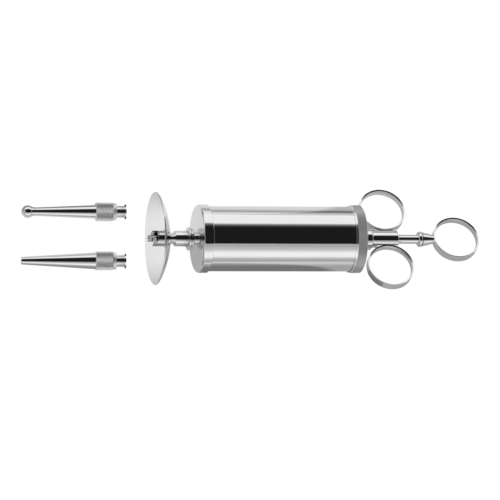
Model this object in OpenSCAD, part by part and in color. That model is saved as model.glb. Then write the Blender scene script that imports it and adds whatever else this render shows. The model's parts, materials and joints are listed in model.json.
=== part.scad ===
// Metal ear syringe with finger rings, a thumb ring, a splash shield and two loose ear tips.
// Lengths are in millimetres and angles in degrees.
// The syringe lies on a table: its shield, its rear cap and one finger ring touch z = 0.
// Along the syringe, s is the distance behind the front end of the barrel tube.

/* [Barrel] */
// Outside diameter of the barrel tube
barrel_d = 40; // [30:0.5:50]
// Wall of the barrel tube
barrel_wall = 1; // [0.9:0.05:2]
// Length of the barrel tube
barrel_len = 99.7; // [70:0.1:140]
// Length of the thread at the rear end of the tube
thread_len = 4; // [2:0.5:4.5]
// Depth of the thread
thread_depth = 0.35; // [0.1:0.05:0.5]
// Pitch of the thread
thread_pitch = 0.8; // [0.5:0.05:1.2]

/* [Front cap] */
// Wall of the front cap's skirt
front_cap_wall = 0.95; // [0.6:0.05:2]
// Thickness of the front cap's end plate at its middle
front_cap_plate = 1.25; // [1:0.05:3]
// Length of the skirt over the tube
front_cap_skirt = 5.55; // [3:0.05:12]
// Height of the end plate's dome
front_cap_dome = 0.5; // [0.1:0.05:0.8]
// Radius of the cap's front corner
front_cap_round = 1.5; // [0.4:0.1:1.6]
// Bevel at the skirt's rear edge
front_cap_bevel = 0.3; // [0.1:0.05:0.6]

/* [Nozzle] */
// Bore that the water runs through
nozzle_bore_d = 3; // [1:0.1:3.2]
// Diameter of the neck against the front cap
nozzle_neck_d = 8.1; // [7.4:0.1:11]
// Length of the neck
nozzle_neck_len = 2.15; // [1:0.05:6]
// Diameter of the rear bead
nozzle_bead_d = 13.2; // [9:0.1:20]
// Thickness of the rear bead
nozzle_bead_len = 1.6; // [1:0.1:3]
// Diameter of the flange
nozzle_flange_d = 14.6; // [12:0.1:22]
// Thickness of the flange
nozzle_flange_len = 1.6; // [1:0.1:3.5]
// Diameter of the sleeve
nozzle_sleeve_d = 9.7; // [7:0.1:11.5]
// Length of the sleeve
nozzle_sleeve_len = 8.05; // [3:0.05:20]
// Diameter of the waist between the sleeve and the collar
nozzle_waist_d = 5.5; // [4.8:0.1:6.5]
// Length of the cone on each side of the waist
nozzle_waist_cone = 1.7; // [0.8:0.05:3]
// Diameter of the stud that goes through the front cap
nozzle_stud_d = 7; // [5:0.1:7.2]
// Width across the flats of the nut inside the barrel
nozzle_nut_af = 11; // [9:0.1:16]
// Thickness of the nut
nozzle_nut_len = 1.8; // [1:0.1:3]

/* [Lock collar] */
// Outside diameter of the lock collar
collar_d = 9.7; // [9.2:0.05:12]
// Diameter of the collar's bore
collar_bore_d = 8.1; // [7.9:0.05:8.3]
// Length of the collar in front of the shield's seat
collar_len = 10.5; // [9.5:0.1:16]
// Depth of the collar's bore
collar_bore_depth = 8; // [6:0.1:9]
// Height of the seat that stops the shield
collar_seat_h = 0.3; // [0.2:0.05:1]
// Length of the seat
collar_seat_len = 0.35; // [0.2:0.05:2]
// Depth of the lock slots from the collar's front
lock_slot_depth = 3.2; // [2.2:0.1:5]
// Bevel at the collar's front edge
collar_bevel = 0.4; // [0.1:0.05:0.6]
// Turn that locks a tip
lock_turn = 35; // [20:1:45]
// Diameter of the nozzle cone at its tip
cone_tip_d = 3.94; // [3:0.02:4]
// How much the cone's diameter grows over each millimetre
cone_taper = 0.06; // [0.02:0.01:0.08]
// Bore of the nozzle cone
cone_bore_d = 1.2; // [0.8:0.1:2]
// How far the cone stands out of the collar
cone_proud = 3; // [1:0.1:6]
// Diameter of the studs that join the sleeve, the collar and the cone
collar_stud_d = 4; // [3.5:0.1:4.2]

/* [Splash shield] */
// Diameter of the shield
shield_d = 57; // [46:0.2:80]
// Radius of the shield's convex back
shield_sphere_r = 55.5; // [45:0.5:120]
// Thickness of the shield
shield_t = 0.8; // [0.6:0.1:1.5]
// Wall of the ferrule that holds the shield on the collar
ferrule_wall = 0.6; // [0.5:0.05:1.5]
// Length of the ferrule
ferrule_len = 3.2; // [2:0.1:5]
// Width of the ferrule's rim in front of the shield
ferrule_rim = 0.6; // [0.3:0.05:2]
// Thickness of that rim
ferrule_rim_len = 0.7; // [0.4:0.05:1]

/* [Rear cap] */
// Diameter over the knurl of the rear cap
rear_cap_d = 42.1; // [41.5:0.1:46]
// Length of the rear cap
rear_cap_len = 7; // [5.5:0.1:14]
// Thickness of the rear cap's end plate
rear_cap_plate = 2; // [1:0.1:4]
// Length of the plain lip in front of the knurl
rear_cap_lip_len = 1; // [0.5:0.1:1.5]
// Bevel at the lip's front edge
rear_cap_lip_bevel = 0.2; // [0.1:0.05:0.5]
// Height of the knurl over that lip
knurl_h = 0.3; // [0.1:0.05:0.35]
// Bevel at the rear edge of the cap
rear_cap_bevel = 0.5; // [0.2:0.1:1]
// Thickness of the gasket in the rear cap
gasket_t = 0.8; // [0.4:0.1:1.5]
// Width of the gasket
gasket_w = 2.9; // [1.2:0.1:5]

/* [Rod guide] */
// Diameter of the rod guide
guide_d = 10.8; // [9:0.1:12]
// Length of the guide behind the rear cap
guide_len = 24.2; // [24:0.1:40]
// Diameter of the guide's foot on the cap
guide_foot_d = 13.4; // [13:0.1:16]
// Length of the foot
guide_foot_len = 6.9; // [3:0.1:7.5]
// Bevel at the foot's rear edge
guide_foot_bevel = 0.2; // [0.1:0.05:0.5]
// Radius of the hollow between the foot and the guide
guide_fillet = 1; // [0.3:0.1:1.2]
// Radius of the guide's rear edge
guide_round = 0.9; // [0.3:0.1:2]
// Diameter of the guide's stud in the cap's plate
guide_stud_d = 8.8; // [7:0.1:9]

/* [Finger and thumb rings] */
// Inside diameter of every ring
ring_bore_d = 26.6; // [22:0.1:32]
// Thickness of the ring at its middle
ring_wall = 1.3; // [1.3:0.05:3]
// Thickness of the ring at its sides
ring_edge = 1; // [0.9:0.05:1.2]
// Width of the ring's flat outside
ring_w = 5.2; // [3.6:0.1:8]
// Width of the straight bore inside the ring
ring_land = 2.4; // [1:0.1:2.8]
// How far each side face of the ring slopes in towards the hole
ring_bevel = 0.35; // [0.1:0.05:0.6]
// How deep a finger ring sits in the guide
ring_nest = 0.1; // [0.1:0.05:0.5]
// Distance from the rear cap to the middle of the finger rings
ring_place = 17; // [16.6:0.1:18]
// Length of the saddle under a finger ring
saddle_len = 13.8; // [8:0.1:15.4]
// Width of the saddle
saddle_w = 3.6; // [2:0.1:4]
// Height of the saddle over the guide
saddle_h = 1.7; // [0.8:0.1:2.5]
// Turn of the thumb ring about the syringe's axis
thumb_roll = 32.4; // [0:0.1:60]

/* [Piston and rod] */
// Diameter of the piston rod
rod_d = 5.6; // [4.6:0.1:7]
// Diameter of the rod's front stud, which holds the piston
rod_stud_d = 4; // [3:0.1:4.2]
// Bevel on the inner edge of a cup's lip
cup_bevel = 0.4; // [0.1:0.05:0.6]
// Gap between the piston and the nozzle's nut
piston_gap = 2; // [1:0.1:20]
// Thickness of the nut that clamps the piston
piston_nut_len = 2.5; // [1.5:0.1:5]
// Width across the flats of the piston nut
piston_nut_af = 10; // [7:0.1:16]
// Thickness of the metal discs
disc_t = 1.2; // [0.8:0.1:3]
// Thickness of the disc between the cups
spreader_t = 1.6; // [1:0.1:5]
// Thickness of a cup's web
cup_web = 1.2; // [0.8:0.1:2.5]
// Thickness of a cup's lip
cup_lip_t = 1.35; // [0.8:0.05:2.5]
// Length of a cup with its lip
cup_len = 3.5; // [2:0.1:3.7]
// Distance from the guide to the stem of the thumb ring
stem_gap = 13; // [6:0.1:40]
// Diameter of the stem's bead
stem_bead_d = 9.7; // [7:0.1:14]
// Thickness of the stem's bead
stem_bead_len = 2.9; // [1.5:0.1:5]
// Length of the stem's cone
stem_cone_len = 8.2; // [4:0.1:20]
// Diameter of the cone behind the bead
stem_cone_d = 8.9; // [6:0.1:12]
// Diameter of the cone at the ring
stem_end_d = 5; // [3.8:0.1:6]
// How deep the thumb ring sits in the stem
stem_nest = 1; // [0.5:0.1:1.5]
// Diameter of the rod's rear stud in the stem
stem_stud_d = 3.4; // [2.5:0.1:3.6]
// Length of that stud
stem_stud_len = 6; // [3:0.1:8]

/* [Ear tips] */
// Length of each ear tip
tip_len = 64.5; // [50:0.1:90]
// Diameter of the olive
olive_d = 7.8; // [6.8:0.1:10]
// Diameter of the shaft behind the olive
olive_shaft_d = 5.35; // [4.8:0.05:6.2]
// How much thicker the shaft is where it meets the olive
olive_flare = 1.3; // [0.2:0.1:1.4]
// Distance from the olive's front to the thinnest place of the shaft
olive_waist = 10.5; // [9:0.1:20]
// Diameter of the shaft at the grip
olive_root_d = 8.4; // [7.4:0.1:10]
// Diameter of the cone tip at its front
cone_front_d = 4.7; // [3.6:0.1:6]
// Diameter of the cone tip at the grip
cone_root_d = 10.3; // [7.4:0.1:10.6]
// Bore of the shafts
tip_bore_d = 2.4; // [1.6:0.1:2.8]
// Hole in the olive
olive_hole_d = 1.8; // [1:0.1:2.2]
// Diameter of the grip
grip_d = 11.5; // [11:0.1:14]
// Length of the grip
grip_len = 11; // [8:0.1:20]
// Bevel of the grip's edges
grip_bevel = 0.5; // [0.2:0.1:0.9]
// Diameter of the step behind the grip
grip_step_d = 10.5; // [9:0.1:10.8]
// Length of the step
grip_step_len = 1.8; // [0.8:0.1:3]
// Bevel at the step's rear edge
grip_step_bevel = 0.3; // [0.1:0.05:0.6]
// Diameter of the neck that enters the collar
tip_neck_d = 7.4; // [6.8:0.05:7.6]
// Length of the neck
tip_neck_len = 5.15; // [4.2:0.05:8]
// Distance over the two lock lugs
lug_span = 9.6; // [8.6:0.1:12]
// Width of a lug
lug_w = 4.4; // [2:0.1:5]
// Thickness of a lug
lug_t = 0.9; // [0.6:0.1:1.2]
// Diameter of the socket through the lock end, which seals on the nozzle cone
socket_d = 4.2; // [4.1:0.05:4.6]
// Diameter of the studs inside the grip
grip_stud_d = 6.4; // [5.8:0.1:6.8]

/* [Layout on the table] */
// Distance from the shield's rim to the tips' lock ends
tip_spacing = 15; // [14:0.5:60]
// Distance of the olive tip beside the syringe's axis
olive_side = 16.3; // [8:0.1:60]
// Distance of the cone tip beside the axis, on the other side
cone_side = 13.8; // [8:0.1:60]

/* [Fits] */
// Radial gap of every part that slides or turns on another
running_gap = 0.05; // [0.02:0.01:0.1]
// Gap between flat faces that move past each other
face_gap = 0.05; // [0.02:0.01:0.1]
// Gap of a lug in its slot
slot_gap = 0.15; // [0.05:0.05:0.4]
// Gap between a saddle and the ring and guide that it joins, which solder fills
solder_gap = 0.02; // [0.01:0.01:0.05]

/* [Hidden] */

round_fn = 96;
arc_steps = 8;
cut_over = 1;

// Shares of the pitch at which a ridge of the thread leaves its root, is full and ends
ridge_foot = 0.3;
ridge_top = 0.7;
ridge_end = 0.95;

barrel_r = barrel_d / 2;
bore_r = barrel_r - barrel_wall;
front_cap_r = barrel_r + front_cap_wall;
rear_cap_r = rear_cap_d / 2;
rear_cap_bore_r = barrel_r + running_gap;

// Places along the syringe in front of the barrel
s_cap_face = -front_cap_plate;
s_neck = s_cap_face - nozzle_neck_len;
s_bead = s_neck - nozzle_bead_len;
s_flange = s_bead - nozzle_flange_len;
s_sleeve = s_flange - nozzle_sleeve_len;
s_waist = s_sleeve - nozzle_waist_cone;
s_flare = s_waist - nozzle_waist_cone;
s_seat = s_flare - collar_seat_len;
s_collar_front = s_seat - collar_len;
s_collar_base = s_collar_front + collar_bore_depth;
s_stud_split = (s_waist + s_collar_base) / 2;
s_tip = s_collar_front - cone_proud;

// Places along the syringe behind the barrel
s_gasket = barrel_len + face_gap;
s_plate = s_gasket + gasket_t + face_gap;
s_rear = s_plate + rear_cap_plate;
s_rear_skirt = s_rear - rear_cap_len;
s_guide_end = s_rear + guide_len;
s_ring = s_rear + ring_place;
s_stem = s_guide_end + stem_gap;
s_cone = s_stem + stem_bead_len;
s_stem_end = s_cone + stem_cone_len;

ring_r = ring_bore_d / 2 + ring_wall;
ring_side = guide_d / 2 + ring_r - ring_nest;
s_thumb = s_stem_end + ring_r - stem_nest;

// Places of the piston's pieces
s_piston_nut = nozzle_nut_len + piston_gap;
s_front_disc = s_piston_nut + piston_nut_len;
s_front_cup = s_front_disc + disc_t + face_gap;
s_spreader = s_front_cup + cup_web + face_gap;
s_rear_cup = s_spreader + spreader_t + face_gap;
s_rear_disc = s_rear_cup + cup_web + face_gap;
s_rod = s_rear_disc + disc_t;
cup_r = bore_r - running_gap;
lip_r = cup_r - cup_lip_t;
disc_r = lip_r - 2 * running_gap;

// The collar, its ferrule and the shield
collar_r = collar_d / 2;
seat_r = collar_r + collar_seat_h;
ferrule_bore_r = collar_r + running_gap;
ferrule_r = ferrule_bore_r + ferrule_wall;
ferrule_rim_r = ferrule_r + ferrule_rim;
s_ferrule = s_seat - face_gap;
shield_r = shield_d / 2;
s_sphere = s_ferrule - shield_sphere_r;
s_rim = s_sphere + sqrt(pow(shield_sphere_r, 2) - pow(shield_r, 2));
s_ferrule_rim = s_sphere + sqrt(pow(shield_sphere_r - shield_t, 2) - pow(ferrule_rim_r, 2));

// How the syringe rests: the shield's rim and the rear cap's edge touch the table
s_heel = s_rear - rear_cap_bevel;
rest_tilt = atan((shield_r - rear_cap_r) / (s_heel - s_rim));
rest_height = shield_r * cos(rest_tilt) + s_rim * sin(rest_tilt);

// Height of the lowest point of the right finger ring when the rings are rolled by a
function ring_clear(a) =
  rest_height - s_ring * sin(rest_tilt) - ring_side * sin(a) * cos(rest_tilt)
  - ring_r * sqrt(pow(sin(rest_tilt), 2) + pow(sin(a) * cos(rest_tilt), 2))
  - ring_w / 2 * cos(a) * cos(rest_tilt);

// Roll at which that ring touches the table, by halving an interval
function touching_roll(low, high, steps) =
  let (middle = (low + high) / 2)
  steps == 0 ? middle
  : ring_clear(middle) > 0 ? touching_roll(middle, high, steps - 1)
  : touching_roll(low, middle, steps - 1);

finger_roll = touching_roll(0, 90, 40);

// Ear tips: u is the distance behind the tip's front end
grip_r = grip_d / 2;
olive_r = olive_d / 2;
olive_stud_r = (olive_shaft_d + tip_bore_d) / 4;
u_lock = tip_len - lug_t;
u_neck = u_lock - tip_neck_len;
u_step = u_neck - grip_step_len;
u_grip = u_step - grip_len;
u_split = (u_grip + u_neck) / 2;
u_contact = u_grip + grip_bevel;

// Each tip rests on its grip and its front end, which sets how far it dips
olive_reach = u_contact - olive_r;
olive_dip = atan(grip_r / olive_reach) - asin(olive_r / sqrt(pow(olive_reach, 2) + pow(grip_r, 2)));
cone_dip = atan((grip_r - cone_front_d / 2) / u_contact);
olive_lock_z = olive_r + (tip_len - olive_r) * sin(olive_dip);
cone_lock_z = cone_front_d / 2 * cos(cone_dip) + tip_len * sin(cone_dip);

// Places on the table: x = 0 is the middle of everything, from the tips' fronts to the thumb ring
rim_x = s_rim * cos(rest_tilt);
lock_x = rim_x - tip_spacing;
olive_front_x = lock_x - (tip_len - olive_r) * cos(olive_dip) - olive_r;
cone_front_x = lock_x - tip_len * cos(cone_dip) - cone_front_d / 2 * sin(cone_dip);
thumb_x = s_thumb * cos(rest_tilt)
  + ring_r * sqrt(pow(cos(rest_tilt), 2) + pow(sin(thumb_roll) * sin(rest_tilt), 2))
  + ring_w / 2 * cos(thumb_roll) * sin(rest_tilt);
middle_x = (min(olive_front_x, cone_front_x) + thumb_x) / 2;

chrome = [0.80, 0.81, 0.82];
steel = [0.70, 0.71, 0.72];
brass = [0.78, 0.63, 0.34];
rubber = [0.12, 0.12, 0.12];
fibre = [0.45, 0.24, 0.16];

echo(finger_roll = finger_roll, rest_tilt = rest_tilt, rest_height = rest_height);
echo(s_ring = s_ring, ring_side = ring_side, s_thumb = s_thumb, s_rear = s_rear);
echo(middle_x = middle_x, lock_x = lock_x, olive_dip = olive_dip, cone_dip = cone_dip);
echo(olive_lock_z = olive_lock_z, cone_lock_z = cone_lock_z, s_tip = s_tip, s_rim = s_rim);
echo(socket_len = tip_len - u_split);

// Points of an arc about [radius, place], for a turned outline
function arc(centre, r, from, to, steps = arc_steps) = [
  for (i = [0:steps])
    let (a = from + (to - from) * i / steps)
    centre + r * [cos(a), sin(a)]
];

// A half round edge between two places, its top at radius r
function half_round(r, from, to) =
  let (half = (to - from) / 2)
  arc([r - half, (from + to) / 2], half, -90, 90);

// A solid turned about the long axis; each point is [radius, place]
module turned(outline) {
  rotate([0, 90, 0])
    rotate_extrude($fn = round_fn)
      polygon(outline);
}

// A plain ring about the long axis
module washer(r, hole_r, from, to) {
  turned([[hole_r, from], [r, from], [r, to], [hole_r, to]]);
}

// A round bar about the long axis
module bar(r, from, to) {
  translate([from, 0, 0])
    rotate([0, 90, 0])
      cylinder(r = r, h = to - from, $fn = round_fn);
}

// A hexagon nut about the long axis
module hex_nut(af, hole_r, from, to) {
  difference() {
    translate([from, 0, 0])
      rotate([0, 90, 0])
        cylinder(r = af / 2 / cos(30), h = to - from, $fn = 6);
    bar(hole_r, from - cut_over, to + cut_over);
  }
}

// Lays the syringe on the table
module on_table() {
  translate([-middle_x, 0, rest_height])
    rotate([0, rest_tilt, 0])
      children();
}

// Lays an ear tip on the table beside the syringe, its lock end at lock_x
module tip_on_table(side, dip, lock_z) {
  translate([lock_x - middle_x, side, lock_z])
    rotate([0, -dip, 0])
      translate([-tip_len, 0, 0])
        children();
}

// Brass tube with a short thread turned on its rear end, drawn as closed ridges
module barrel_tube() {
  turns = floor(thread_len / thread_pitch);
  root_r = barrel_r - thread_depth;
  s_first = barrel_len - turns * thread_pitch;
  color(chrome) on_table()
    turned(concat(
      [[bore_r, 0], [barrel_r, 0], [barrel_r, s_first]],
      [
        for (i = [0:turns - 1], p = [[root_r, ridge_foot], [barrel_r, ridge_top], [barrel_r, ridge_end]])
          [p[0], s_first + (i + p[1]) * thread_pitch]
      ],
      [[root_r, barrel_len], [bore_r, barrel_len]]
    ));
}

// Domed cap soldered over the front end of the tube
module front_cap() {
  face_r = front_cap_r - front_cap_round;
  s_edge = s_cap_face + front_cap_dome;
  dome_r = (pow(face_r, 2) + pow(front_cap_dome, 2)) / (2 * front_cap_dome);
  dome_turn = asin(face_r / dome_r);
  hole_turn = asin(nozzle_stud_d / 2 / dome_r);
  color(chrome) on_table()
    turned(concat(
      arc([0, s_cap_face + dome_r], dome_r, -90 + hole_turn, -90 + dome_turn),
      arc([face_r, s_edge + front_cap_round], front_cap_round, -90, 0),
      [
        [front_cap_r, front_cap_skirt - front_cap_bevel],
        [front_cap_r - front_cap_bevel, front_cap_skirt],
        [barrel_r, front_cap_skirt],
        [barrel_r, 0],
        [nozzle_stud_d / 2, 0]
      ]
    ));
}

// Turned stem in front of the cap, with a flange, a bead, a sleeve and a stud at each end
module nozzle_body() {
  neck_r = nozzle_neck_d / 2;
  stud_r = nozzle_stud_d / 2;
  front_stud_r = collar_stud_d / 2;
  bore = nozzle_bore_d / 2;
  hollow = (nozzle_bead_d / 2 - nozzle_bead_len / 2 - neck_r) / 2;
  color(chrome) on_table()
    turned(concat(
      [[bore, s_stud_split], [front_stud_r, s_stud_split], [front_stud_r, s_waist]],
      [[nozzle_waist_d / 2, s_waist], [nozzle_sleeve_d / 2, s_sleeve], [nozzle_sleeve_d / 2, s_flange]],
      half_round(nozzle_flange_d / 2, s_flange, s_bead),
      half_round(nozzle_bead_d / 2, s_bead, s_neck),
      [[neck_r + hollow, s_neck], [neck_r, s_neck + min(hollow, nozzle_neck_len / 2)]],
      [[neck_r, s_cap_face], [stud_r, s_cap_face], [stud_r, nozzle_nut_len], [bore, nozzle_nut_len]]
    ));
}

// Nut inside the barrel that holds the nozzle to the front cap
module nozzle_nut() {
  color(brass) on_table()
    hex_nut(nozzle_nut_af, nozzle_stud_d / 2, 0, nozzle_nut_len);
}

// One lock slot, at the bottom for direction 0: it runs back from the front, then turns along the wall
module lock_slot(direction) {
  half_w = lug_w / 2 + slot_gap;
  leg = lug_t + 2 * slot_gap;
  reach = collar_r + cut_over;
  rotate([0, 90, 0])
    translate([0, 0, s_collar_front - cut_over])
      linear_extrude(height = lock_slot_depth + cut_over)
        rotate(direction)
          translate([0, -half_w])
            square([reach, 2 * half_w]);
  rotate([0, 90, 0])
    translate([0, 0, s_collar_front + lock_slot_depth - leg])
      linear_extrude(height = leg)
        rotate(direction)
          polygon(concat([[0, 0]], arc([0, 0], 2 * reach, 0, lock_turn + asin(half_w / reach), 4)));
}

// Collar that a tip's lugs turn into, with the shield's seat and a cone down to the waist
module lock_collar() {
  stud_r = collar_stud_d / 2;
  color(chrome) on_table()
    difference() {
      turned([
        [stud_r, s_waist],
        [nozzle_waist_d / 2, s_waist],
        [seat_r, s_flare],
        [seat_r, s_seat],
        [collar_r, s_seat],
        [collar_r, s_collar_front + collar_bevel],
        [collar_r - collar_bevel, s_collar_front],
        [collar_bore_d / 2, s_collar_front],
        [collar_bore_d / 2, s_collar_base],
        [stud_r, s_collar_base]
      ]);
      lock_slot(135);
      lock_slot(315);
    }
}

// Male cone that an ear tip seals on
module nozzle_cone() {
  stud_r = collar_stud_d / 2;
  root_r = cone_tip_d / 2 + (s_collar_base - s_tip) * cone_taper / 2;
  color(chrome) on_table()
    turned([
      [cone_bore_d / 2, s_tip],
      [cone_tip_d / 2, s_tip],
      [root_r, s_collar_base],
      [stud_r, s_collar_base],
      [stud_r, s_stud_split],
      [cone_bore_d / 2, s_stud_split]
    ]);
}

// Dished shield that catches the water, hollow towards the nozzle
module splash_shield() {
  outer_r = shield_sphere_r;
  inner_r = outer_r - shield_t;
  color(chrome) on_table()
    turned(concat(
      arc([0, s_sphere], outer_r, acos(ferrule_r / outer_r), acos(shield_r / outer_r), 16),
      arc([0, s_sphere], inner_r, acos(shield_r / inner_r), acos(ferrule_r / inner_r), 16)
    ));
}

// Ferrule soldered in the shield, which slides on the collar
module shield_ferrule() {
  color(chrome) on_table()
    turned([
      [ferrule_bore_r, s_ferrule],
      [ferrule_r, s_ferrule],
      [ferrule_r, s_ferrule_rim],
      [ferrule_rim_r, s_ferrule_rim],
      [ferrule_rim_r, s_ferrule_rim - ferrule_rim_len],
      [ferrule_r, s_ferrule_rim - ferrule_rim_len],
      [ferrule_r, s_ferrule - ferrule_len],
      [ferrule_bore_r, s_ferrule - ferrule_len]
    ]);
}

// Washer that seals the rear cap on the end of the tube
module cap_gasket() {
  color(fibre) on_table()
    washer(barrel_r, barrel_r - gasket_w, s_gasket, s_gasket + gasket_t);
}

// Knurled cap screwed on the rear end of the tube
module rear_cap() {
  lip_r = rear_cap_r - knurl_h;
  color(chrome) on_table()
    turned([
      [rear_cap_bore_r, s_rear_skirt],
      [lip_r - rear_cap_lip_bevel, s_rear_skirt],
      [lip_r, s_rear_skirt + rear_cap_lip_bevel],
      [lip_r, s_rear_skirt + rear_cap_lip_len],
      [rear_cap_r, s_rear_skirt + rear_cap_lip_len + knurl_h],
      [rear_cap_r, s_heel],
      [rear_cap_r - rear_cap_bevel, s_rear],
      [guide_stud_d / 2, s_rear],
      [guide_stud_d / 2, s_plate],
      [rear_cap_bore_r, s_plate]
    ]);
}

// The space inside a ring's outside and a gap, with the ring's middle at the origin
module ring_space(gap = 0) {
  side = ring_w / 2 + ring_r;
  cylinder(r = ring_r + gap, h = 2 * side, center = true, $fn = round_fn);
}

// Points of the ring's inside: a straight bore between two slopes
function ring_inside() =
  let (
    half = ring_w / 2 - ring_bevel,
    edge_r = ring_r - ring_edge,
    hole_r = ring_bore_d / 2
  )
  [[edge_r, half], [hole_r, ring_land / 2], [hole_r, -ring_land / 2], [edge_r, -half]];

// A ring, flat outside, with side faces that slope towards the hole and a thicker middle
module ring_band() {
  rotate_extrude($fn = round_fn)
    polygon(concat([[ring_r, -ring_w / 2], [ring_r, ring_w / 2]], ring_inside()));
}

// Puts a finger ring's parts beside the guide: turn is 0 on the right and 180 on the left
module beside_guide(turn) {
  rotate([turn - finger_roll, 0, 0])
    translate([s_ring, ring_side, 0])
      children();
}

// Tube that guides the rod, with a foot on the rear cap and a seat for each finger ring
module rod_guide() {
  guide_r = guide_d / 2;
  rod_hole = rod_d / 2 + running_gap;
  s_foot = s_rear + guide_foot_len;
  foot_r = guide_foot_d / 2;
  hollow = min(guide_fillet, foot_r - guide_foot_bevel - guide_r);
  color(chrome) on_table()
    difference() {
      turned(concat(
        [[rod_hole, s_plate], [guide_stud_d / 2, s_plate], [guide_stud_d / 2, s_rear]],
        [[foot_r, s_rear], [foot_r, s_foot - guide_foot_bevel], [foot_r - guide_foot_bevel, s_foot]],
        arc([guide_r + hollow, s_foot + hollow], hollow, 270, 180, 5),
        arc([guide_r - guide_round, s_guide_end - guide_round], guide_round, 0, 90, 5),
        [[rod_hole, s_guide_end]]
      ));
      beside_guide(0) ring_space();
      beside_guide(180) ring_space();
    }
}

// Cradle brazed between a finger ring and the guide
module ring_saddle(turn) {
  outer = guide_d / 2 + saddle_h;
  color(chrome) on_table()
    difference() {
      rotate([turn - finger_roll, 0, 0])
        translate([s_ring - saddle_len / 2, 0, -saddle_w / 2])
          cube([saddle_len, outer, saddle_w]);
      bar(guide_d / 2 + solder_gap, s_rear, s_guide_end + cut_over);
      beside_guide(turn) ring_space(solder_gap);
    }
}

// Saddle of the right finger ring
module ring_saddle_right() {
  ring_saddle(0);
}

// Saddle of the left finger ring
module ring_saddle_left() {
  ring_saddle(180);
}

// Finger ring on the right, which rests on the table
module finger_ring_right() {
  color(chrome) on_table()
    beside_guide(0) ring_band();
}

// Finger ring on the left
module finger_ring_left() {
  color(chrome) on_table()
    beside_guide(180) ring_band();
}

// A rubber cup: its web is at place, and its lip points to the side that way says
module piston_cup(place, way) {
  s_near = way < 0 ? place + cup_web : place;
  hole_r = rod_stud_d / 2 + running_gap;
  color(rubber) on_table()
    turned([
      [hole_r, s_near],
      [cup_r, s_near],
      [cup_r, s_near + way * cup_len],
      [lip_r + cup_bevel, s_near + way * cup_len],
      [lip_r, s_near + way * (cup_len - cup_bevel)],
      [lip_r, s_near + way * cup_web],
      [hole_r, s_near + way * cup_web]
    ]);
}

// Cup that presses the water forward
module front_cup() {
  piston_cup(s_front_cup, -1);
}

// Cup that holds suction when the plunger is drawn
module rear_cup() {
  piston_cup(s_rear_cup, 1);
}

// Nut that clamps the piston on the rod
module piston_nut() {
  color(brass) on_table()
    hex_nut(piston_nut_af, rod_stud_d / 2, s_piston_nut, s_front_disc);
}

// Disc inside the front cup
module front_disc() {
  color(brass) on_table()
    washer(disc_r, rod_stud_d / 2, s_front_disc, s_front_disc + disc_t);
}

// Disc between the two cups
module cup_spreader() {
  color(brass) on_table()
    washer(disc_r, rod_stud_d / 2, s_spreader, s_spreader + spreader_t);
}

// Disc inside the rear cup
module rear_disc() {
  color(brass) on_table()
    washer(disc_r, rod_stud_d / 2, s_rear_disc, s_rod);
}

// Rod with a stud at each end
module piston_rod() {
  color(chrome) on_table()
    union() {
      bar(rod_stud_d / 2, s_piston_nut, s_rod + cut_over);
      bar(rod_d / 2, s_rod, s_stem);
      bar(stem_stud_d / 2, s_stem - cut_over, s_stem + stem_stud_len);
    }
}

// Puts the thumb ring's parts at the end of the stem
module behind_stem() {
  rotate([-thumb_roll, 0, 0])
    translate([s_thumb, 0, 0])
      children();
}

// Turned stem between the rod and the thumb ring
module ring_stem() {
  color(chrome) on_table()
    difference() {
      turned(concat(
        [[stem_stud_d / 2, s_stem]],
        half_round(stem_bead_d / 2, s_stem, s_cone),
        [[stem_cone_d / 2, s_cone], [stem_end_d / 2, s_stem_end]],
        [[0, s_stem_end], [0, s_stem + stem_stud_len], [stem_stud_d / 2, s_stem + stem_stud_len]]
      ));
      behind_stem() ring_space();
    }
}

// Ring for the thumb
module thumb_ring() {
  color(chrome) on_table()
    behind_stem() ring_band();
}

// Rounded end of the olive tip, with its hole and a socket for the shaft
module olive_ball() {
  hole_r = olive_hole_d / 2;
  color(chrome) tip_on_table(olive_side, olive_dip, olive_lock_z)
    turned(concat(
      arc([0, olive_r], olive_r, asin(hole_r / olive_r) - 90, 90 - asin(olive_stud_r / olive_r), 24),
      [[olive_stud_r, olive_r], [hole_r, olive_r]]
    ));
}

// Shaft of the olive tip, thinnest behind the ball, with a stud at each end
module olive_shaft() {
  ball_turn = asin((olive_shaft_d + olive_flare) / 2 / olive_r);
  color(chrome) tip_on_table(olive_side, olive_dip, olive_lock_z)
    turned(concat(
      [[tip_bore_d / 2, olive_r], [olive_stud_r, olive_r]],
      arc([0, olive_r], olive_r, 90 - asin(olive_stud_r / olive_r), 90 - ball_turn, 4),
      [[olive_shaft_d / 2, olive_waist], [olive_root_d / 2, u_grip], [grip_stud_d / 2, u_grip]],
      [[grip_stud_d / 2, u_split], [tip_bore_d / 2, u_split]]
    ));
}

// Shaft of the cone tip, with a stud for the grip
module cone_shaft() {
  color(chrome) tip_on_table(-cone_side, cone_dip, cone_lock_z)
    turned([
      [tip_bore_d / 2, 0],
      [cone_front_d / 2, 0],
      [cone_root_d / 2, u_grip],
      [grip_stud_d / 2, u_grip],
      [grip_stud_d / 2, u_split],
      [tip_bore_d / 2, u_split]
    ]);
}

// Knurled grip of an ear tip, with the step behind it
module tip_grip() {
  hole_r = grip_stud_d / 2;
  turned([
    [hole_r, u_grip],
    [grip_r - grip_bevel, u_grip],
    [grip_r, u_grip + grip_bevel],
    [grip_r, u_step - grip_bevel],
    [grip_r - grip_bevel, u_step],
    [grip_step_d / 2, u_step],
    [grip_step_d / 2, u_neck - grip_step_bevel],
    [grip_step_d / 2 - grip_step_bevel, u_neck],
    [hole_r, u_neck]
  ]);
}

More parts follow.
